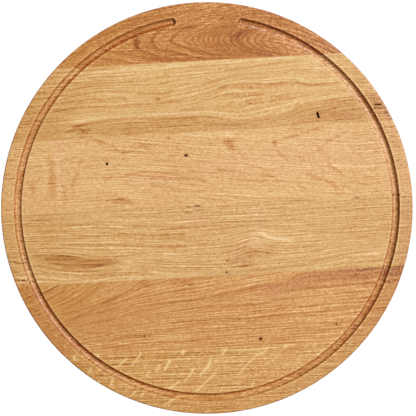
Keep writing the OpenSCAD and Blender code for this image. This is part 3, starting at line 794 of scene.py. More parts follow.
    w.tone -= 0 + 0.05 * blob(u, v, 0, 20, 40, 3) - 0.02 * blob(u, v, 60, 8, 60, 8)
    w.tone -= 0.06 * step01(-120, -175, u) + 0.04 * blob(u, v, 30, 66, 30, 3)
    w.flecks([(0.55, 0.7, [(-196, 44), (-194, 48)]), (0.50, 0.7, [(-188, 58), (-190, 65)]), (0.40, 0.7, [(-192, 57), (-189, 61)]), (0.45, 0.8, [(-183, 55), (-176, 56.5)])], 4)




def stave_5(w):
    """Tan: rings that fan out of the upper left and run straight below."""
    u, v = w.u, w.v
    C = [
        [(-210, 92), (-168, 75.8), (-160, 72.6), (-152, 69.5), (-140, 64), (-100, 46), (0, 12), (200, -30)],
        [(-210, 101), (-167, 83), (-155, 78), (-145, 73), (-141, 69.5), (-120, 60), (-60, 40), (0, 24), (200, -10)],
        [(-210, 108), (-158, 91), (-140, 84.5), (-126, 76), (-120, 70), (-100, 62), (-60, 51), (0, 40), (200, 12)],
        [(-210, 113), (-153, 99.5), (-121, 92), (-103, 87), (-90, 81), (-80, 76), (-73, 71), (-60, 66), (0, 56), (100, 48), (200, 40)],
        [(-210, 119), (-148, 107), (-126, 98.5), (-96, 90.5), (-77, 85), (-58, 81), (0, 74), (60, 66), (100, 60), (200, 54)],
        [(-210, 126), (-148, 113), (-110, 101), (-83, 95), (-58, 93), (-40, 91), (-21, 90.4), (0, 87.6), (12, 85), (25, 83.5), (37, 81.5), (46, 79.4), (62, 78.5), (75, 75.8), (81, 72.6), (90, 70), (100, 68.3), (200, 64)],
        [(-210, 130), (-148, 118), (-100, 109), (-60, 102), (0, 97), (60, 94), (120, 91.4), (200, 91)],
        [(-210, 133), (-148, 124), (-100, 117), (0, 112), (25, 112.6), (67, 111.4), (120, 110), (200, 109)],
        [(-210, 137), (-148, 131), (-88, 125), (-58, 124), (0, 124), (100, 122), (200, 122)], [(0, 142)]]
    w.t = flow(u, v, C)
    w.ring = w.t / 4.3 + 0.45 * noise(u / 60, w.t / 8, 51)
    w.ring_amp = 0.8 + 0.45 * noise(u / 70, v / 8, 52)
    w.pore_amp += 0.2
    w.calm = 0.45 * blob(u, v, -112, 84, 52, 15, -20)
    w.lines([
        (0.95, 1.1, 1.2, [(-174, 78.4), (-168, 75.8), (-160, 72.6), (-152, 69.2)]), (0.40, 1.0, 1.2, [(-167, 83), (-155, 78), (-145, 73), (-141, 69.5)]), (0.40, 1.0, 1.2, [(-161, 87), (-146, 82), (-136, 76), (-131, 70)]),
        (0.34, 1.0, 1.2, [(-158, 91), (-140, 84.5), (-126, 76), (-120, 70)]), (0.40, 1.1, 1.4, [(-153, 96), (-133, 87), (-115, 76), (-110, 70)]),
        (0.34, 1.1, 1.4, [(-153, 99.5), (-137, 96), (-121, 92), (-103, 87)]), (0.66, 1.3, 2.0, [(-112, 90), (-103, 87), (-96, 84), (-90, 81.6), (-84, 80)]), (0.42, 1.2, 2.0, [(-88, 81), (-80, 76.4), (-73, 71.5)]),
        (0.34, 1.0, 1.6, [(-148, 109), (-126, 98), (-96, 89.5), (-77, 84.5), (-58, 81)]), (0.28, 1.0, 1.2, [(-150, 104), (-130, 101), (-108, 97), (-88, 92)]), (0.26, 1.0, 1.2, [(-144, 112), (-120, 108), (-98, 106)]),
        (0.34, 1.0, 2.0, [(-83, 95), (-58, 93.4), (-40, 91.6)]), (0.56, 1.0, 2.2, [(-46, 92.4), (-34, 91.2), (-21, 91), (0, 88.2)]), (0.50, 1.0, 2.4, [(-2, 88.6), (12, 86), (25, 84.4), (37, 82), (46, 80), (62, 80.5), (75, 77)]),
        (0.38, 1.0, 2.4, [(72, 77), (81, 73.4), (90, 70.4), (100, 69)]), (0.32, 1.0, 1.2, [(29, 93), (38, 94), (47, 94.5)]), (0.34, 1.0, 1.0, [(120, 91.4), (138, 91), (156, 91)]),
        (0.30, 1.0, 1.0, [(0, 112), (25, 112.6), (67, 111.4), (120, 110), (140, 109.6)]), (0.30, 1.0, 1.0, [(-130, 118), (-108, 119), (-96, 118.6)]), (0.40, 1.0, 1.0, [(-98, 124), (-84, 123.4), (-58, 123.4)]),
        (0.28, 1.0, 1.0, [(-20, 100), (20, 99), (60, 98)]), (0.24, 1.0, 1.0, [(60, 104), (90, 103.4), (120, 105)]), (0.28, 1.0, 1.0, [(-40, 112.6), (-20, 112), (0, 112)]), (0.26, 1.0, 1.0, [(0, 120), (30, 118.6), (60, 119.4)]),
        (0.28, 1.0, 1.0, [(70, 130), (100, 129.6), (124, 130)]), (0.26, 1.0, 1.0, [(-110, 133), (-80, 134), (-50, 133)]), (0.26, 1.0, 1.0, [(-20, 130.4), (20, 131), (44, 130)]), (0.26, 1.0, 1.0, [(60, 137.8), (90, 138), (118, 137.8)]),
        (0.26, 1.0, 1.0, [(-60, 119.6), (-30, 119.4), (-4, 118.6)]), (0.24, 1.0, 1.0, [(90, 84), (120, 84.6), (160, 84)]), (0.26, 1.0, 1.0, [(100, 77), (130, 77.6), (166, 76.6)]),
        (0.66, 1.0, 1.0, [(-187, 79.6), (-178, 79), (-172, 78.4)]), (0.60, 1.0, 1.0, [(-180, 92), (-171, 93)]), (0.44, 1.0, 1.0, [(-176, 98), (-168, 97)]), (0.44, 1.0, 1.0, [(-170, 105), (-160, 108)]),
        (0.40, 1.0, 1.0, [(-156, 118), (-146, 121)]), (0.34, 1.2, 0.6, [(140, 131), (150, 131)]), (0.34, 1.2, 0.6, [(160, 110), (170, 108)]), (0.22, 1.2, 0.6, [(168, 90), (180, 88)]), (0.06, 1.2, 0.6, [(178, 74), (188, 74)]),
        (0.32, 1.2, 0, [(-70, 70.5), (-66, 73.5), (-61, 74.5)]), (0.30, 1.0, 0, [(-34, 74.5), (-26, 74), (-18, 77)]),
    ], 5)
    over = smooth(C[5])
    hi = np.interp(u, over[:, 0], over[:, 1])
    deep = step01(0.3, 2.4, v - hi) * (1 - step01(6, 24, v - hi)) * step01(30, 80, u)
    w.tone -= (0.22 + 0.08 * step01(80, 150, u)) * deep
    w.dust = 0.26 * deep
    w.hue += (0.6 + 0.2 * step01(90, 150, u)) * deep + 0.5 * blob(u, v, 60, 84, 40, 5)
    w.tone += 0.12 * blob(u, v, -90, 75, 16, 4.6, -24) + 0.08 * blob(u, v, 40, 74, 40, 5) + 0.08 * blob(u, v, -46, 78, 16, 4, -12) - 0.14 * blob(u, v, -65, 72, 6, 5) - 0.12 * blob(u, v, -27, 72, 9, 3.6)
    w.tone -= 0.05 * blob(u, v, -146, 75, 26, 12, -24) + 0.06 * blob(u, v, -120, 100, 40, 14) - 0.05 * step01(-20, 120, u) + 0.05 * step01(-40, -160, u)
    w.tone -= 0.08 * step01(182, 188, np.hypot(u, v)) * (u < 0)
    w.hue -= 0.5 * blob(u, v, -150, 90, 40, 24)
    w.pale([
        (0.20, 0.9, 0, [(-83, 94), (-58, 92), (-40, 89.8), (-21, 89.2), (0, 86.4), (12, 83.8), (25, 82.4), (37, 80.4)]), (0.16, 1.0, 0, [(58, 102), (70, 102), (78, 102.2)]), (0.14, 1.0, 0, [(-130, 110.5), (-110, 109.4), (-90, 108)]),
        (0.30, 1.0, 0, [(-126, 127.4), (-118, 128.4), (-110, 129)]), (0.30, 1.0, 0, [(-102, 128), (-93, 129.8), (-84, 130.4)]), (0.26, 1.0, 0, [(-116, 136), (-106, 137), (-98, 137.6)]), (0.20, 1.0, 0, [(-92, 119), (-84, 120.5)]),
        (0.20, 1.0, 0, [(-100, 122), (-92, 124)]), (0.18, 1.2, 0, [(-60, 128), (-40, 129), (-20, 128)]), (0.14, 1.4, 0, [(70, 118), (100, 117.6), (126, 118)]), (0.14, 1.4, 0, [(60, 126), (90, 125.6)]), (0.12, 1.6, 0, [(80, 99), (120, 99), (150, 98)]),
        (0.14, 1.2, 0, [(-40, 105), (0, 106), (40, 105)]), (0.18, 1.0, 0, [(-96, 90), (-86, 89)]),
    ], 5)
    w.marks([(0.26, 0.9, [(-174, 78.4), (-168, 75.8), (-160, 72.6), (-153, 69.6)]), (0.16, 1.0, [(-110, 89.4), (-100, 86), (-92, 82.4)])], 5)
    w.flecks([(0.5, 0.9, [(-150, 128), (-146, 133)]), (0.4, 0.9, [(-140, 133), (-137, 137)]), (0.35, 0.9, [(-158, 117), (-155, 121)])], 5)



def stave_6(w):
    """Quarter-sawn: fine straight rings crossed by slanting pale ray flecks."""
    u, v = w.u, w.v
    w.t = v - 0.02 * u + 0.8 * noise(u / 70, v / 16, 61)
    w.ring = w.t / 3.6 + 0.4 * noise(u / 70, w.t / 7, 62)
    w.ring_amp = 0.85 + 0.4 * noise(u / 60, v / 8, 63)
    w.pore_amp += 0.3
    w.lines([
        (0.50, 0.9, 0.9, [(-117, 145.6), (-90, 145.2), (-60, 145.4), (-30, 144.8), (0, 145.4), (20, 146.6), (37, 148)]), (0.34, 0.9, 0.9, [(62, 148.4), (82, 149.2), (97, 150)]),
        (0.44, 0.9, 0.9, [(8, 162.6), (30, 163.6), (52, 164), (76, 165)]), (0.28, 0.9, 0.9, [(0, 155), (26, 156.4), (50, 158.6)]), (0.28, 0.9, 0.9, [(-98, 150.6), (-76, 151.6), (-52, 151)]),
        (0.28, 0.9, 0.9, [(-86, 158.4), (-60, 159), (-36, 160)]), (0.26, 0.9, 0.9, [(-76, 168), (-52, 167.4), (-24, 168.4)]), (0.26, 0.9, 0.9, [(-48, 174), (-20, 175), (8, 176.4)]), (0.26, 0.9, 0.9, [(20, 170), (44, 172), (62, 173)]),
        (0.30, 0.9, 0.9, [(0, 177), (30, 178.5), (50, 178)]), (0.36, 0.9, 0.9, [(-34, 142.6), (-16, 142), (0, 142.4)]), (0.30, 0.9, 0.9, [(60, 143.6), (90, 144), (108, 143)]),
        (0.50, 0.9, 0.9, [(-142, 147), (-132, 147.6)]), (0.44, 0.9, 0.9, [(-124, 160), (-112, 161), (-104, 162)]), (0.44, 0.9, 0.9, [(-92, 176), (-80, 177.4)]), (0.40, 0.9, 0.9, [(-52, 186), (-42, 186.6)]),
        (0.34, 0.9, 0.9, [(-30, 191), (0, 192.6), (30, 192)]), (0.30, 0.9, 0.9, [(-60, 190), (-36, 193)]), (0.34, 0.9, 0.9, [(122, 151), (136, 151.6)]), (0.30, 0.9, 0.9, [(84, 176), (100, 175)]), (0.30, 0.9, 0.9, [(30, 197), (56, 195)]),
        (0.30, 0.9, 0.9, [(104, 165.5), (120, 166)]), (0.28, 0.9, 0.9, [(60, 185), (84, 182)]),
    ], 6)
    w.flecks([
        (0.75, 1.3, [(-87, 144.6), (-92, 149), (-97, 154)]), (0.70, 1.0, [(-72.6, 140.3), (-78, 147), (-84.5, 154)]), (1.1, 1.75, [(-30, 139.6), (-31.5, 142), (-33, 144.8)]),
        (1.0, 1.2, [(-44.5, 149), (-48.5, 155), (-52, 160.5)]), (0.6, 1.5, [(-54.5, 152.8), (-60.8, 161.5)]), (0.55, 1.3, [(-64.5, 157.8), (-70.8, 165.3)]), (0.72, 1.0, [(-20, 157.8), (-26, 165), (-32, 171.5)]),
        (0.80, 1.1, [(-4.5, 150.3), (-8.3, 159), (-17, 167)]), (0.72, 1.0, [(0, 164), (-14.5, 176.5), (-22, 182.8)]), (0.72, 1.2, [(-35.8, 170.3), (-41, 174), (-48, 178)]), (0.60, 1.1, [(13, 139.6), (9, 144), (5, 148)]),
        (0.55, 1.2, [(31, 139), (29, 144)]), (0.60, 0.85, [(55, 140.3), (50, 145.3), (41, 150.3), (35, 155), (29, 160.3), (21, 169)]), (0.72, 1.1, [(75, 139), (71, 142), (67.5, 144.8)]), (0.50, 0.9, [(20, 147.8), (17.5, 150)]),
        (0.50, 0.9, [(27, 149), (23, 152.8)]), (0.55, 0.9, [(64, 150), (60, 153.6), (55, 158)]), (0.55, 1.0, [(109, 145), (105, 149), (100, 154)]), (0.45, 0.9, [(54, 155), (49, 160)]), (0.45, 0.9, [(72, 158), (69, 161)]),
        (0.45, 0.9, [(87, 150), (84, 154), (81, 158)]), (0.8, 1.0, [(-140.8, 139.6), (-139.5, 145.3)]), (0.7, 0.9, [(-123, 151.5), (-127.6, 159)]), (0.8, 1.0, [(-102, 164), (-107, 173)]), (0.6, 0.9, [(-88, 175), (-93, 180)]),
        (0.75, 1.0, [(-79.5, 177.8), (-88, 184.6)]), (0.7, 0.9, [(-72, 180), (-78, 184.4)]), (0.5, 1.4, [(-62, 184), (-64, 184.6)]), (0.75, 1.1, [(-42, 187.8), (-54.5, 194)]), (0.5, 0.9, [(-8, 200), (-14, 205)]),
        (0.85, 1.6, [(-117, 140), (-115, 143)]), (0.5, 0.9, [(-116, 164), (-119, 169)]), (0.5, 0.9, [(-133, 138), (-131, 142)]),
    ], 6)
    w.scatter(44, (-20, 112, 141, 184), (3, 9), (38, 56), (0.55, 0.95), (0.24, 0.55), 600)
    w.scatter(30, (-110, 20, 141, 182), (3, 8), (42, 62), (0.55, 0.95), (0.20, 0.50), 700)
    w.scatter(40, (-140, 60, 150, 206), (3, 9), (35, 60), (0.5, 1.0), (0.2, 0.5), 800)
    w.scatter(16, (60, 150, 140, 200), (3, 8), (30, 50), (0.5, 0.9), (0.15, 0.35), 900)
    r = np.hypot(u, v)
    w.tone += 0.03 - 0.05 * step01(182, 188, r) * (u < 20) + 0.05 * blob(u, v, 60, 155, 50, 14) - 0.04 * blob(u, v, -70, 150, 40, 12)
    w.hue += 0.5 * blob(u, v, 50, 160, 60, 18) - 0.3 * blob(u, v, -120, 165, 40, 20)


FIGURES = {1: stave_1, 2: stave_2, 3: stave_3, 4: stave_4, 5: stave_5, 6: stave_6}
DEPTH_LEAN = {1: 0.9, 2: 1.1, 3: 1.6, 4: 0.9, 5: 0.8, 6: 0.25}      # how far the rings lean over per unit of depth


def fields(stave, V):
    """All fields of one stave at its vertices (mm)."""
    x, y, z = V.T
    p, q = to_pq(x, y)
    u, v = p / UNIT, -q / UNIT
    depth = (T - z) / UNIT
    r = np.hypot(x, y)
    off = groove_offset(x, y)
    in_groove = off < HALF + 0.3
    lean = DEPTH_LEAN[stave]
    shift = np.where(in_groove & (depth < 5), 0.35, lean) * depth
    w = Wood(u, v + shift * (depth > 0.05))
    FIGURES[stave](w)
    # the drawn lines belong to the face: they die away down the rim and the holes
    hold = 1 - step01(2.0, 11.0, depth)
    for a in (w.line, w.fleck, w.stain_and_pit_shade):
        a *= hold
    w.tone *= 0.35 + 0.65 * hold
    w.hue *= 0.3 + 0.7 * hold
    # end grain shows darker where the rim cuts the fibres
    rim = step01(R - 1.0, R - 0.2, r) * step01(0.5, 1.6, depth)
    end = np.abs(x * CA + y * SA) / np.maximum(r, 1)
    w.tone -= 0.22 * rim * end ** 2
    # darker groove walls, darkest just under each lip: partly scorch from the cutter and partly painted shade, deeper
    # where a wall faces away from the key light
    turn = np.degrees(np.arctan2(y, x))
    side = np.where(r < GROOVE_R, 1.0, 0.0)
    az = turn % 360
    inner = np.interp(off, (0, 0.9, 1.5, 2.1, 2.8, 3.3, HALF - 0.05, HALF + 0.10), (0.10, 0.18, 0.50, 0.92, 1.05, 0.85, 0.5, 0.0))
    outer = np.interp(off, (0, 1.5, 2.3, 2.9, 3.3, 3.6, HALF), (0.08, 0.08, 0.10, 0.50, 1.0, 0.36, 0.0))
    # painted shade: each wall's darkening is scaled turn by turn round the board to follow the key light's shading, and
    # the two tables below add or take away more of it
    inner = inner * np.interp(az, (0, 25, 60, 84, 120, 150, 170, 185, 200, 215, 240, 270, 300, 330, 360), (1.0, 1.15, 1.5, 1.1, 1.5, 1.1, 0.74, 0.14, 0.08, 0.26, 1.22, 1.85, 1.9, 1.65, 1.05))
    outer = outer * np.interp(az, (0, 15, 30, 60, 90, 110, 125, 140, 155, 180, 210, 240, 262, 280, 300, 330, 360), (0.82, 0.92, 1.2, 1.2, 0.8, 0.38, 0.60, 0.84, 1.0, 0.74, 0.84, 0.84, 0.14, 0.05, 0.94, 0.96, 0.82))
    inner_shade_by_turn = np.interp(az, (0, 30, 60, 120, 150, 180, 210, 240, 258, 275, 300, 330, 360), (0.10, 0.42, 0.42, 0.34, 0.20, 0.20, 0.22, 0.38, 0.16, -0.08, 0.0, 0.0, 0.04))
    outer_shade_by_turn = np.interp(az, (0, 15, 30, 60, 110, 130, 150, 180, 210, 240, 258, 275, 300, 330, 360), (0.20, -0.16, 0.08, 0.0, -0.28, -0.14, 0.16, 0.18, 0.28, 0.26, 0.0, -0.20, 0.20, 0.32, 0.24))
    burn_and_shade = np.where(side > 0, inner + inner_shade_by_turn * np.interp(off, (0, 1.6, 2.6), (1, 0.9, 0)), outer + outer_shade_by_turn * np.interp(off, (0, 1.8, 3.0), (1, 0.9, 0)))
    # painted shade: the groove on the left side, away from the key light, darkened evenly in all channels
    w.tone -= 0.085 * (1 - step01(HALF - 0.3, HALF, off)) * step01(150, 176, az) * (1 - step01(232, 256, az))
    # painted highlight: a pale band along both lips of the groove, and a brighter one on the outer lip at the right,
    # towards the key light
    w.tone += 0.12 * step01(HALF + 0.02, HALF + 0.5, off) * (1 - step01(HALF + 1.3, HALF + 2.4, off))
    w.tone += 0.14 * (1 - side) * step01(HALF - 0.2, HALF + 0.1, off) * (1 - step01(HALF + 0.8, HALF + 1.6, off)) * np.interp(az, (0, 25, 60, 300, 325, 360), (1, 0.5, 0, 0, 0.8, 1))
    # pale speckled walls: painted highlight where the groove's walls face the key light, the inner wall at the right
    # and the outer wall at the lower left, on torn fibres; the knot's greyer wood joins it
    torn_and_highlight = side * np.interp(az, (0, 8, 26, 76, 84, 285, 310, 360), (0.55, 0.65, 0.95, 0.95, 0.0, 0.0, 0.40, 0.55)) * step01(0.2, 1.2, off) * (1 - step01(HALF - 0.4, HALF + 0.1, off))
    torn_and_highlight *= 1 - step01(1.0, 2.0, off) * np.interp(az, (0, 8, 24, 250, 262, 330, 360), (0.40, 0.30, 0.0, 0.0, 1.0, 0.6, 0.40))
    left = (1 - side) * step01(186, 212, turn % 360) * (1 - step01(232, 262, turn % 360)) * step01(-0.2, 0.8, off) * (1 - step01(3.0, HALF, off))
    torn_and_highlight = np.maximum(np.maximum(torn_and_highlight, 0.5 * left), w.dust * hold)
    burn_and_shade *= 1 - np.where(side > 0, 0.50, 0.35) * torn_and_highlight
    # painted sheen: a faint pale speckle on the face outside the groove, at the right, towards the key light
    ring = step01(HALF + 1.0, HALF + 3.0, off) * (r > GROOVE_R)
    torn_and_highlight = np.maximum(torn_and_highlight, 0.16 * ring * (1 - step01(R - 2.5, R - 0.5, r)) * np.interp(az, (0, 15, 60, 280, 300, 345, 360), (1, 0.3, 0, 0, 1, 1, 1)))
    mask = 1 - step01(HALF - 0.05, HALF + 0.2, off)
    # a darker line round the eased arris, above and below
    arris = step01(R - EDGE - 0.6, R - 0.5, r)
    below = step01(0.6, 2.6, np.minimum(z, T - z)) * step01(R - 0.9, R - 0.3, r)
    burn_and_shade = np.maximum(burn_and_shade, 0.62 * arris * (1 - 0.45 * below) * (0.85 + 0.35 * noise(turn * 0.7, z / 4, 72)))
    w.calm = np.maximum(w.calm, 0.5 * below)
    w.tone -= 0.035 * step01(HALF + 0.3, HALF + 1.5, off) * (r > GROOVE_R)
    w.tone -= 0.11 * step01(110, 200, u) + 0.05 * step01(HALF + 0.3, HALF + 1.5, off) * (r > GROOVE_R) * np.interp(az, (0, 60, 90, 280, 300, 360), (1, 1, 0, 0, 1, 1))
    # walls of the pin holes and checks painted near-black, partly stain and partly painted shade inside them, with a
    # dark stained ring round each
    pit = pit_depth(x, y, stave)
    w.stain_and_pit_shade = np.where((pit > 0) & (z < T - 0.05) & (z > T - 7), np.maximum(w.stain_and_pit_shade, 0.93), w.stain_and_pit_shade)
    for px, py, d, _, st in PINS:
        if st == stave:
            rr = np.hypot(x - px, y - py)
            w.stain_and_pit_shade = np.maximum(w.stain_and_pit_shade, (0.97 if d > 1.5 else 0.9) * (1 - step01(0.5 * d, (0.60 if d > 1.5 else 0.54) * d + (0.40 if d > 1.5 else 0.20), rr)) * (z > T - 4))
            w.line += 0.3 * np.exp(-(rr / (0.9 * d + 0.6)) ** 2) * (z > T - 4)
    for px, py, length, width, _, ang, st in CHECKS:
        if st == stave:
            c, e = math.cos(math.radians(ang)), math.sin(math.radians(ang))
            a, b = (x - px) * c + (y - py) * e, -(x - px) * e + (y - py) * c
            rr = np.hypot(np.clip(np.abs(a) - (length - width) / 2, 0, None), b)
            w.stain_and_pit_shade = np.maximum(w.stain_and_pit_shade, (0.97 if width > 1.2 else 0.72) * (1 - step01(0.5 * width, 0.5 * width + 0.45, rr)) * (z > T - 4))
            w.line += 0.4 * np.exp(-(rr / (0.5 * width + 1.1)) ** 2) * (z > T - 4)
    return w, np.clip(burn_and_shade, 0, 1.3), mask, torn_and_highlight


def put(me, name, kind, values):
    a = me.attributes.new(name, kind, "POINT")
    a.data.foreach_set("vector" if kind == "FLOAT_VECTOR" else "value", np.ascontiguousarray(values, np.float32).ravel())


def add_fields(me, stave, V):
    w, burn_and_shade, mask, torn_and_highlight = fields(stave, V)
    s = w.u * UNIT
    put(me, "fibre", "FLOAT_VECTOR", np.column_stack([s + 37.0 * stave, w.t * UNIT, V[:, 2]]))
    put(me, "figure", "FLOAT_VECTOR", np.column_stack([w.ring, w.line, w.tone]))
    put(me, "tint_fleck_and_shade", "FLOAT_VECTOR", np.column_stack([w.hue, w.fleck, burn_and_shade]))
    put(me, "extra", "FLOAT_VECTOR", np.column_stack([w.stain_and_pit_shade, w.ring_amp, w.pore_amp]))
    put(me, "rout", "FLOAT_VECTOR", np.column_stack([mask, torn_and_highlight, w.calm]))
# ---------------------------------------------------------------- the wood's material
def lin(c):
    return tuple(((x / 255) / 12.92 if x / 255 <= 0.04045 else ((x / 255 + 0.055) / 1.055) ** 2.4) for x in c)


# colours from dark line to pale fleck for each stave
RAMPS = {
    1: [(112, 58, 28), (157, 93, 49), (181, 119, 67), (196, 134, 80), (220, 160, 107), (236, 184, 134)],
    2: [(140, 82, 42), (186, 133, 77), (209, 161, 103), (219, 177, 119), (234, 200, 149), (244, 216, 172)],
    3: [(156, 98, 54), (198, 147, 91), (216, 169, 114), (225, 182, 128), (238, 200, 150), (246, 214, 172)],
    4: [(136, 80, 42), (182, 126, 72), (205, 158, 101), (217, 174, 117), (234, 197, 147), (244, 213, 170)],
    5: [(128, 70, 32), (178, 116, 60), (195, 138, 81), (207, 154, 97), (227, 182, 127), (240, 204, 156)],
    6: [(130, 76, 38), (181, 126, 69), (199, 148, 89), (212, 164, 105), (236, 195, 137), (245, 212, 166)],
}
BASE = {1: 0.69, 2: 0.625, 3: 0.59, 4: 0.605, 5: 0.61, 6: 0.545}      # resting place on the ramp
CAST = {1: (1.0, 1.0, 0.87), 2: (1.0, 1.0, 0.96), 3: (1.0, 1.0, 0.96), 4: (1.0, 0.995, 0.94), 5: (1.0, 0.98, 0.89), 6: (1.0, 0.985, 0.875)}
# strength of the grain lines, fine stripes, wider stripes, specks, dashes, ticks, streaks, slow changes and rings
LOOK = {
    1: (0.14, 0.20, 0.06, 0.85, 0.05, 0.12, 0.05, 0.10, 0.00), 2: (0.18, 0.17, 0.08, 0.56, 0.04, 0.08, 0.08, 0.12, 0.06), 3: (0.16, 0.18, 0.07, 0.66, 0.08, 0.20, 0.04, 0.13, 0.03),
    4: (0.19, 0.19, 0.09, 0.55, 0.05, 0.10, 0.08, 0.13, 0.07), 5: (0.20, 0.20, 0.10, 0.58, 0.05, 0.12, 0.09, 0.20, 0.08), 6: (0.17, 0.23, 0.10, 0.61, 0.06, 0.13, 0.07, 0.12, 0.06),
}


class Nodes:
    """Small helper to write node trees."""

    def __init__(self, tree):
        self.tree = tree

    def add(self, kind, **props):
        n = self.tree.nodes.new(kind)
        for k, v in props.items():
            setattr(n, k, v)
        return n

    def put(self, socket, value):
        if hasattr(value, "is_linked"):
            self.tree.links.new(value, socket)
        else:
            socket.default_value = value

    def math(self, op, a, b=None, c=None, clamp=False):
        n = self.add("ShaderNodeMath", operation=op, use_clamp=clamp)
        for s, v in zip(n.inputs, (a, b, c)):
            if v is not None:
                self.put(s, v)
        return n.outputs[0]

    def vmath(self, op, a, b=None, scale=None):
        n = self.add("ShaderNodeVectorMath", operation=op)
        self.put(n.inputs[0], a)
        if b is not None:
            self.put(n.inputs[1], b)
        if scale is not None:
            self.put(n.inputs["Scale"], scale)
        return n.outputs[0]

    def noise(self, vector, scale, detail=0.0, rough=0.5):
        n = self.add("ShaderNodeTexNoise", noise_dimensions="3D")
        n.normalize = True
        self.put(n.inputs["Vector"], self.vmath("MULTIPLY", vector, scale))
        n.inputs["Scale"].default_value = 1.0
        n.inputs["Detail"].default_value = detail
        n.inputs["Roughness"].default_value = rough
        return n.outputs["Fac"]

    def stripes(self, vector, across, period, wander, scale):
        """Fine lines along the fibres, about one to a period, that drift and never quite repeat."""
        phase = self.math("MULTIPLY_ADD", across, 2 * math.pi / period, self.math("MULTIPLY", self.noise(vector, scale, 1.0), wander))
        return self.math("SINE", phase)

    def ramp(self, value, stops, mode="LINEAR"):
        n = self.add("ShaderNodeValToRGB")
        n.color_ramp.interpolation = mode
        el = n.color_ramp.elements
        while len(el) < len(stops):
            el.new(0.5)
        for e, (pos, col) in zip(el, stops):
            e.position = pos
            e.color = (*col, 1) if len(col) == 3 else col
        self.put(n.inputs["Fac"], value)
        return n.outputs["Color"]

    def span(self, value, a, b, c=0.0, d=1.0):
        """Smooth step of value from a..b to c..d."""
        n = self.add("ShaderNodeMapRange", interpolation_type="SMOOTHSTEP")
        for s, v in zip(n.inputs, (value, a, b, c, d)):
            self.put(s, v)
        return n.outputs[0]

    def sum(self, *terms):
        out = terms[0]
        for t in terms[1:]:
            out = self.math("ADD", out, t)
        return out


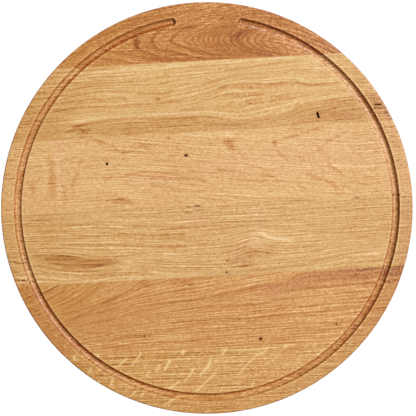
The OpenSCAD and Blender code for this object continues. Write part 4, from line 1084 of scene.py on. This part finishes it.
def wood_material(stave):
    mat = bpy.data.materials.new("oak_stave_%d" % stave)
    mat.use_nodes = True
    tree = mat.node_tree
    n = Nodes(tree)
    shader = tree.nodes["Principled BSDF"]

    def attribute(name):
        a = n.add("ShaderNodeAttribute", attribute_name=name, attribute_type="GEOMETRY")
        sep = n.add("ShaderNodeSeparateXYZ")
        tree.links.new(a.outputs["Vector"], sep.inputs[0])
        return a.outputs["Vector"], sep.outputs
    fibre, (_, across, _) = attribute("fibre")
    _, (ring, line, tone) = attribute("figure")
    _, (hue, fleck, burn_and_shade) = attribute("tint_fleck_and_shade")
    _, (stain_and_pit_shade, ring_amp, pore_amp) = attribute("extra")
    _, (rout, torn_and_highlight, calm) = attribute("rout")

    k_grain, k_fine, k_wide, k_speck, k_dash, k_tick, k_streak, k_slow, k_ring = LOOK[stave]
    # growth rings: a sharp dark edge that shades off across the ring
    wander = n.noise(fibre, (0.018, 0.22, 0.22), 1.0)
    f = n.math("FRACT", n.math("MULTIPLY_ADD", wander, 0.5, ring))
    saw = n.ramp(f, [(0.0, (0, 0, 0)), (0.06, (1, 1, 1)), (0.20, (0.62,) * 3), (0.45, (0.16,) * 3), (0.86, (0.0,) * 3), (1.0, (0.0,) * 3)], "LINEAR")
    strength = n.span(n.noise(fibre, (0.016, 0.24, 0.24), 0.0), 0.34, 0.66, 0.4, 1.3)
    rings = n.math("MULTIPLY", n.math("MULTIPLY", saw, ring_amp), strength)
    # thin grain lines that run on for a long way and come and go
    contour = n.math("ABSOLUTE", n.math("SUBTRACT", n.noise(fibre, (0.012, 0.25, 0.25), 0.0), 0.5))
    grain = n.math("MULTIPLY", n.span(contour, 0.0, 0.042, 1.0, 0.0), n.span(n.noise(fibre, (0.045, 0.50, 0.50), 0.0), 0.36, 0.62, 0.1, 1.0))
    other = n.vmath("ADD", fibre, (11.0, 130.0, 60.0))
    contour = n.math("ABSOLUTE", n.math("SUBTRACT", n.noise(other, (0.016, 0.36, 0.36), 0.0), 0.5))
    grain2 = n.math("MULTIPLY", n.span(contour, 0.0, 0.05, 1.0, 0.0), n.span(n.noise(other, (0.08, 0.60, 0.60), 0.0), 0.40, 0.64, 0.0, 0.8))
    # vessels cut along the fibres: fine lines, dashes, and short ticks that crowd at the ring's edge
    stripe = n.math("MULTIPLY", n.stripes(fibre, across, 2.45, 11.0, (0.016, 0.26, 0.26)), n.span(n.noise(fibre, (0.026, 0.42, 0.42), 0.0), 0.34, 0.64, 0.15, 1.15))
    stripe2 = n.math("MULTIPLY", n.stripes(other, across, 3.7, 12.0, (0.014, 0.18, 0.18)), n.span(n.noise(other, (0.022, 0.30, 0.30), 0.0), 0.36, 0.64, 0.05, 1.2))
    speck = n.math("ADD", n.noise(fibre, (0.37, 0.94, 0.94), 0.0), n.noise(other, (0.54, 0.77, 0.77), 0.0))
    speck = n.math("MULTIPLY_ADD", speck, 0.72 * k_speck, -0.72 * k_speck)
    keep = n.math("MULTIPLY_ADD", calm, -0.55, 1.0)
    fine = n.math("ADD", n.math("MULTIPLY", n.math("ADD", n.math("MULTIPLY", stripe, k_fine), n.math("MULTIPLY", stripe2, k_wide)), n.math("SUBTRACT", 1.0, calm)), n.math("MULTIPLY", speck, keep))
    dash = n.span(n.noise(fibre, (0.10, 0.74, 0.74), 0.0), 0.55, 0.68)
    tick = n.span(n.noise(fibre, (0.26, 0.92, 0.92), 0.0), 0.55, 0.70)
    pore = n.span(n.noise(fibre, (0.42, 4.2, 4.2), 0.0), 0.60, 0.74)
    early = n.math("MULTIPLY_ADD", saw, 0.5, 0.75)
    pores = n.math("MULTIPLY", n.math("MULTIPLY", early, n.math("MULTIPLY", pore_amp, keep)), n.sum(n.math("MULTIPLY", dash, k_dash), n.math("MULTIPLY", tick, k_tick), n.math("MULTIPLY", pore, 0.06)))
    # long light and dark streaks, and slow changes along the board
    streak = n.math("MULTIPLY_ADD", n.noise(fibre, (0.012, 0.20, 0.20), 1.0, 0.5), k_streak, -0.5 * k_streak)
    slow = n.math("MULTIPLY_ADD", n.noise(fibre, (0.010, 0.07, 0.07), 2.0, 0.6), k_slow, -0.5 * k_slow)
    shine = n.math("MULTIPLY", n.span(n.noise(fibre, (0.12, 0.80, 0.80), 0.0), 0.55, 0.72), 0.06)
    broken = n.math("MULTIPLY_ADD", n.noise(fibre, (0.10, 0.5, 0.5), 1.0), 0.5, 0.75)
    dark = n.sum(n.math("MULTIPLY", rings, k_ring), pores, n.math("MULTIPLY", n.math("ADD", grain, grain2), k_grain), n.math("MULTIPLY", n.math("MULTIPLY", line, broken), 0.95))
    dark = n.math("MULTIPLY", n.math("SUBTRACT", 1.0, n.math("EXPONENT", n.math("MULTIPLY", dark, -1.4))), 1.0)
    value = n.sum(n.math("ADD", tone, BASE[stave]), fine, streak, slow, shine)
    value = n.math("SUBTRACT", value, n.math("MULTIPLY", dark, 0.42), clamp=True)
    stops = []
    for pos, c in zip((0.0, 0.15, 0.42, 0.60, 0.86, 1.0), RAMPS[stave]):
        deep = max(0.0, 1 - pos / 0.6)                             # the darks are a deeper orange
        stops.append((pos, tuple(a * b * k for a, b, k in zip(lin(c), CAST[stave], (1.0, 1 - 0.07 * deep, 1 - 0.20 * deep)))))
    colour = n.ramp(value, stops)
    colour = n.vmath("MULTIPLY", colour, n.vmath("ADD", n.vmath("SCALE", (-0.09, -0.25, -0.40), scale=dark), (1.0, 1.0, 1.0)))
    # pinker and greyer, or yellower
    tint = n.vmath("ADD", n.vmath("SCALE", (0.0, -0.045, 0.07), scale=hue), (1.0, 1.0, 1.0))
    colour = n.vmath("MULTIPLY", colour, tint)
    # ray flecks
    pale = n.math("MULTIPLY", fleck, n.span(n.noise(fibre, (0.5, 1.1, 1.1), 1.0), 0.25, 0.50, 0.65, 1.1), clamp=True)
    mix = n.add("ShaderNodeMix", data_type="RGBA")
    n.put(mix.inputs[0], n.math("MULTIPLY", pale, 0.95))
    n.put(mix.inputs[6], colour)
    n.put(mix.inputs[7], (*lin((251, 222, 163)), 1))
    colour = mix.outputs[2]
    # groove walls darkened, partly scorch and partly painted shade, the whole groove blotched with more painted shade,
    # and a darker line round the arris
    mottle = n.span(n.noise(fibre, (0.30, 0.50, 0.50), 1.0, 0.65), 0.38, 0.61, 0.40, 1.46)
    soot_and_shade = n.math("MULTIPLY", n.span(n.noise(other, (0.26, 0.66, 0.66), 1.0, 0.6), 0.50, 0.64), n.math("MULTIPLY", rout, 0.55))
    char_and_shade = n.math("ADD", n.math("MULTIPLY", burn_and_shade, mottle), soot_and_shade, clamp=True)
    scorch_and_shade = n.vmath("ADD", n.vmath("SCALE", (-0.40, -0.60, -0.70), scale=char_and_shade), (1.0, 1.0, 1.0))
    scorch_and_shade = n.vmath("ADD", scorch_and_shade, n.vmath("SCALE", (0.01, -0.11, -0.19), scale=n.math("MULTIPLY", char_and_shade, char_and_shade)))
    colour = n.vmath("MULTIPLY", colour, scorch_and_shade)
    # pale speckle: painted highlight on the groove walls that face the key light and a faint painted sheen outside the
    # groove at the right, with the knot's greyer, dustier wood
    dust = n.math("MULTIPLY", torn_and_highlight, n.span(n.noise(fibre, (0.45, 0.80, 0.80), 1.0, 0.6), 0.42, 0.60, 0.0, 0.9))
    mix = n.add("ShaderNodeMix", data_type="RGBA")
    n.put(mix.inputs[0], dust)
    n.put(mix.inputs[6], colour)
    n.put(mix.inputs[7], (*lin((226, 190, 158)), 1))
    colour = mix.outputs[2]
    # stains, and painted shade in the pin holes and checks
    mix = n.add("ShaderNodeMix", data_type="RGBA")
    n.put(mix.inputs[0], n.math("MULTIPLY", stain_and_pit_shade, 1.0, clamp=True))
    n.put(mix.inputs[6], colour)
    n.put(mix.inputs[7], (0.020, 0.0024, 0.0005, 1))
    tree.links.new(mix.outputs[2], shader.inputs["Base Color"])
    # gloss: oiled satin, duller in the pores, glossier on the flecks
    rough = n.sum(n.math("MULTIPLY_ADD", n.noise(fibre, (0.03, 0.5, 0.5), 2.0), 0.12, 0.27), n.math("MULTIPLY", pores, 0.30), n.math("MULTIPLY", pale, -0.10), n.math("MULTIPLY", burn_and_shade, 0.05), n.math("MULTIPLY", stain_and_pit_shade, 0.5))
    tree.links.new(rough, shader.inputs["Roughness"])
    shader.inputs["IOR"].default_value = 1.46
    tree.links.new(n.math("MULTIPLY_ADD", stain_and_pit_shade, -0.34, 0.38, clamp=True), shader.inputs["Specular IOR Level"])
    # relief: open pores, raised ring edges, and torn fibres on the groove's walls
    rough_wall = n.math("MULTIPLY", n.math("MULTIPLY", n.noise(fibre, (0.4, 0.9, 0.9), 2.0), rout), 1.4)
    height = n.sum(n.math("MULTIPLY", pore, -0.5), n.math("MULTIPLY", tick, -0.35), n.math("MULTIPLY", saw, -0.18), n.math("MULTIPLY", pale, 0.15), rough_wall)
    bump = n.add("ShaderNodeBump")
    bump.inputs["Strength"].default_value = 0.55
    bump.inputs["Distance"].default_value = 0.00018
    n.put(bump.inputs["Height"], height)
    tree.links.new(bump.outputs[0], shader.inputs["Normal"])
    return mat


NAMES = {1: "top_stave", 2: "pale_straight_stave", 3: "flat_sawn_stave", 4: "knotty_stave", 5: "tan_stave", 6: "quarter_sawn_stave"}
total = 0
for number in range(1, 7):
    V, F, _, _ = stave_mesh(number)
    ob = make_object(NAMES[number], V, F)
    add_fields(ob.data, number, V)
    ob.data.materials.append(wood_material(number))
    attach(ob, "root")
    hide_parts("stave_%d" % number)
    total += len(F)
    print(NAMES[number], len(V), "points", len(F), "triangles, open edges", len(boundary(F)))
print("triangles in all", total)

# ---------------------------------------------------------------- floor, light and camera
scene = bpy.context.scene
scene.view_settings.view_transform = "Standard"
scene.view_settings.look = "None"
scene.view_settings.exposure = 0
scene.view_settings.gamma = 1

me = bpy.data.meshes.new("floor")
s = 3.0
me.from_pydata([(-s, -s, -0.0002), (s, -s, -0.0002), (s, s, -0.0002), (-s, s, -0.0002)], [], [(0, 1, 2, 3)])
floor = bpy.data.objects.new("floor", me)
scene.collection.objects.link(floor)
floor_mat = bpy.data.materials.new("pale_floor")
floor_mat.use_nodes = True
fs = floor_mat.node_tree.nodes["Principled BSDF"]
fs.inputs["Base Color"].default_value = (0.02, 0.02, 0.02, 1)
fs.inputs["Roughness"].default_value = 1.0
fs.inputs["Specular IOR Level"].default_value = 0.0
fs.inputs["Emission Color"].default_value = (1, 1, 1, 1)
fs.inputs["Emission Strength"].default_value = 1.03
me.materials.append(floor_mat)

# a white backdrop all round: it is seen, but it neither lights the board nor shades it
me = bpy.data.meshes.new("backdrop")
V, F = [], []
rows, turns, far = 12, 32, 9.5
for i in range(rows + 1):
    lat = -math.pi / 2 + math.pi * i / rows
    for j in range(turns):
        lon = 2 * math.pi * j / turns
        V.append((far * math.cos(lat) * math.cos(lon), far * math.cos(lat) * math.sin(lon), far * math.sin(lat)))
for i in range(rows):
    for j in range(turns):
        k = (j + 1) % turns
        F.append((i * turns + j, (i + 1) * turns + j, (i + 1) * turns + k, i * turns + k))
me.from_pydata(V, [], F)
backdrop = bpy.data.objects.new("backdrop", me)
scene.collection.objects.link(backdrop)
me.materials.append(floor_mat)
backdrop.visible_diffuse = backdrop.visible_glossy = backdrop.visible_transmission = backdrop.visible_shadow = False

world = bpy.data.worlds.new("studio")
scene.world = world
world.use_nodes = True
bg = world.node_tree.nodes["Background"]
bg.inputs["Color"].default_value = (1.0, 0.985, 0.96, 1)
bg.inputs["Strength"].default_value = 0.20


def area(name, az, el, dist, size, watts, colour):
    light = bpy.data.lights.new(name, "AREA")
    light.shape = "DISK"
    light.size = size
    light.energy = watts
    light.color = colour
    ob = bpy.data.objects.new(name, light)
    a, e = math.radians(az), math.radians(el)
    d = Vector((math.cos(e) * math.cos(a), math.cos(e) * math.sin(a), math.sin(e)))
    ob.location = d * dist
    ob.rotation_euler = d.to_track_quat("Z", "Y").to_euler()
    scene.collection.objects.link(ob)
    return ob


area("key", 31, 52, 8.0, 2.0, 690, (1.0, 0.985, 0.96))

cam = bpy.data.cameras.new("camera")
cam.lens = 60
cam.sensor_width = 36
cam.clip_start = 0.05
cam.clip_end = 20
co = bpy.data.objects.new("camera", cam)
HALF_VIEW = 0.20214
co.location = (0.00111, -0.00004, 0.0185 + HALF_VIEW * 2 * cam.lens / 36)
scene.collection.objects.link(co)
scene.camera = co
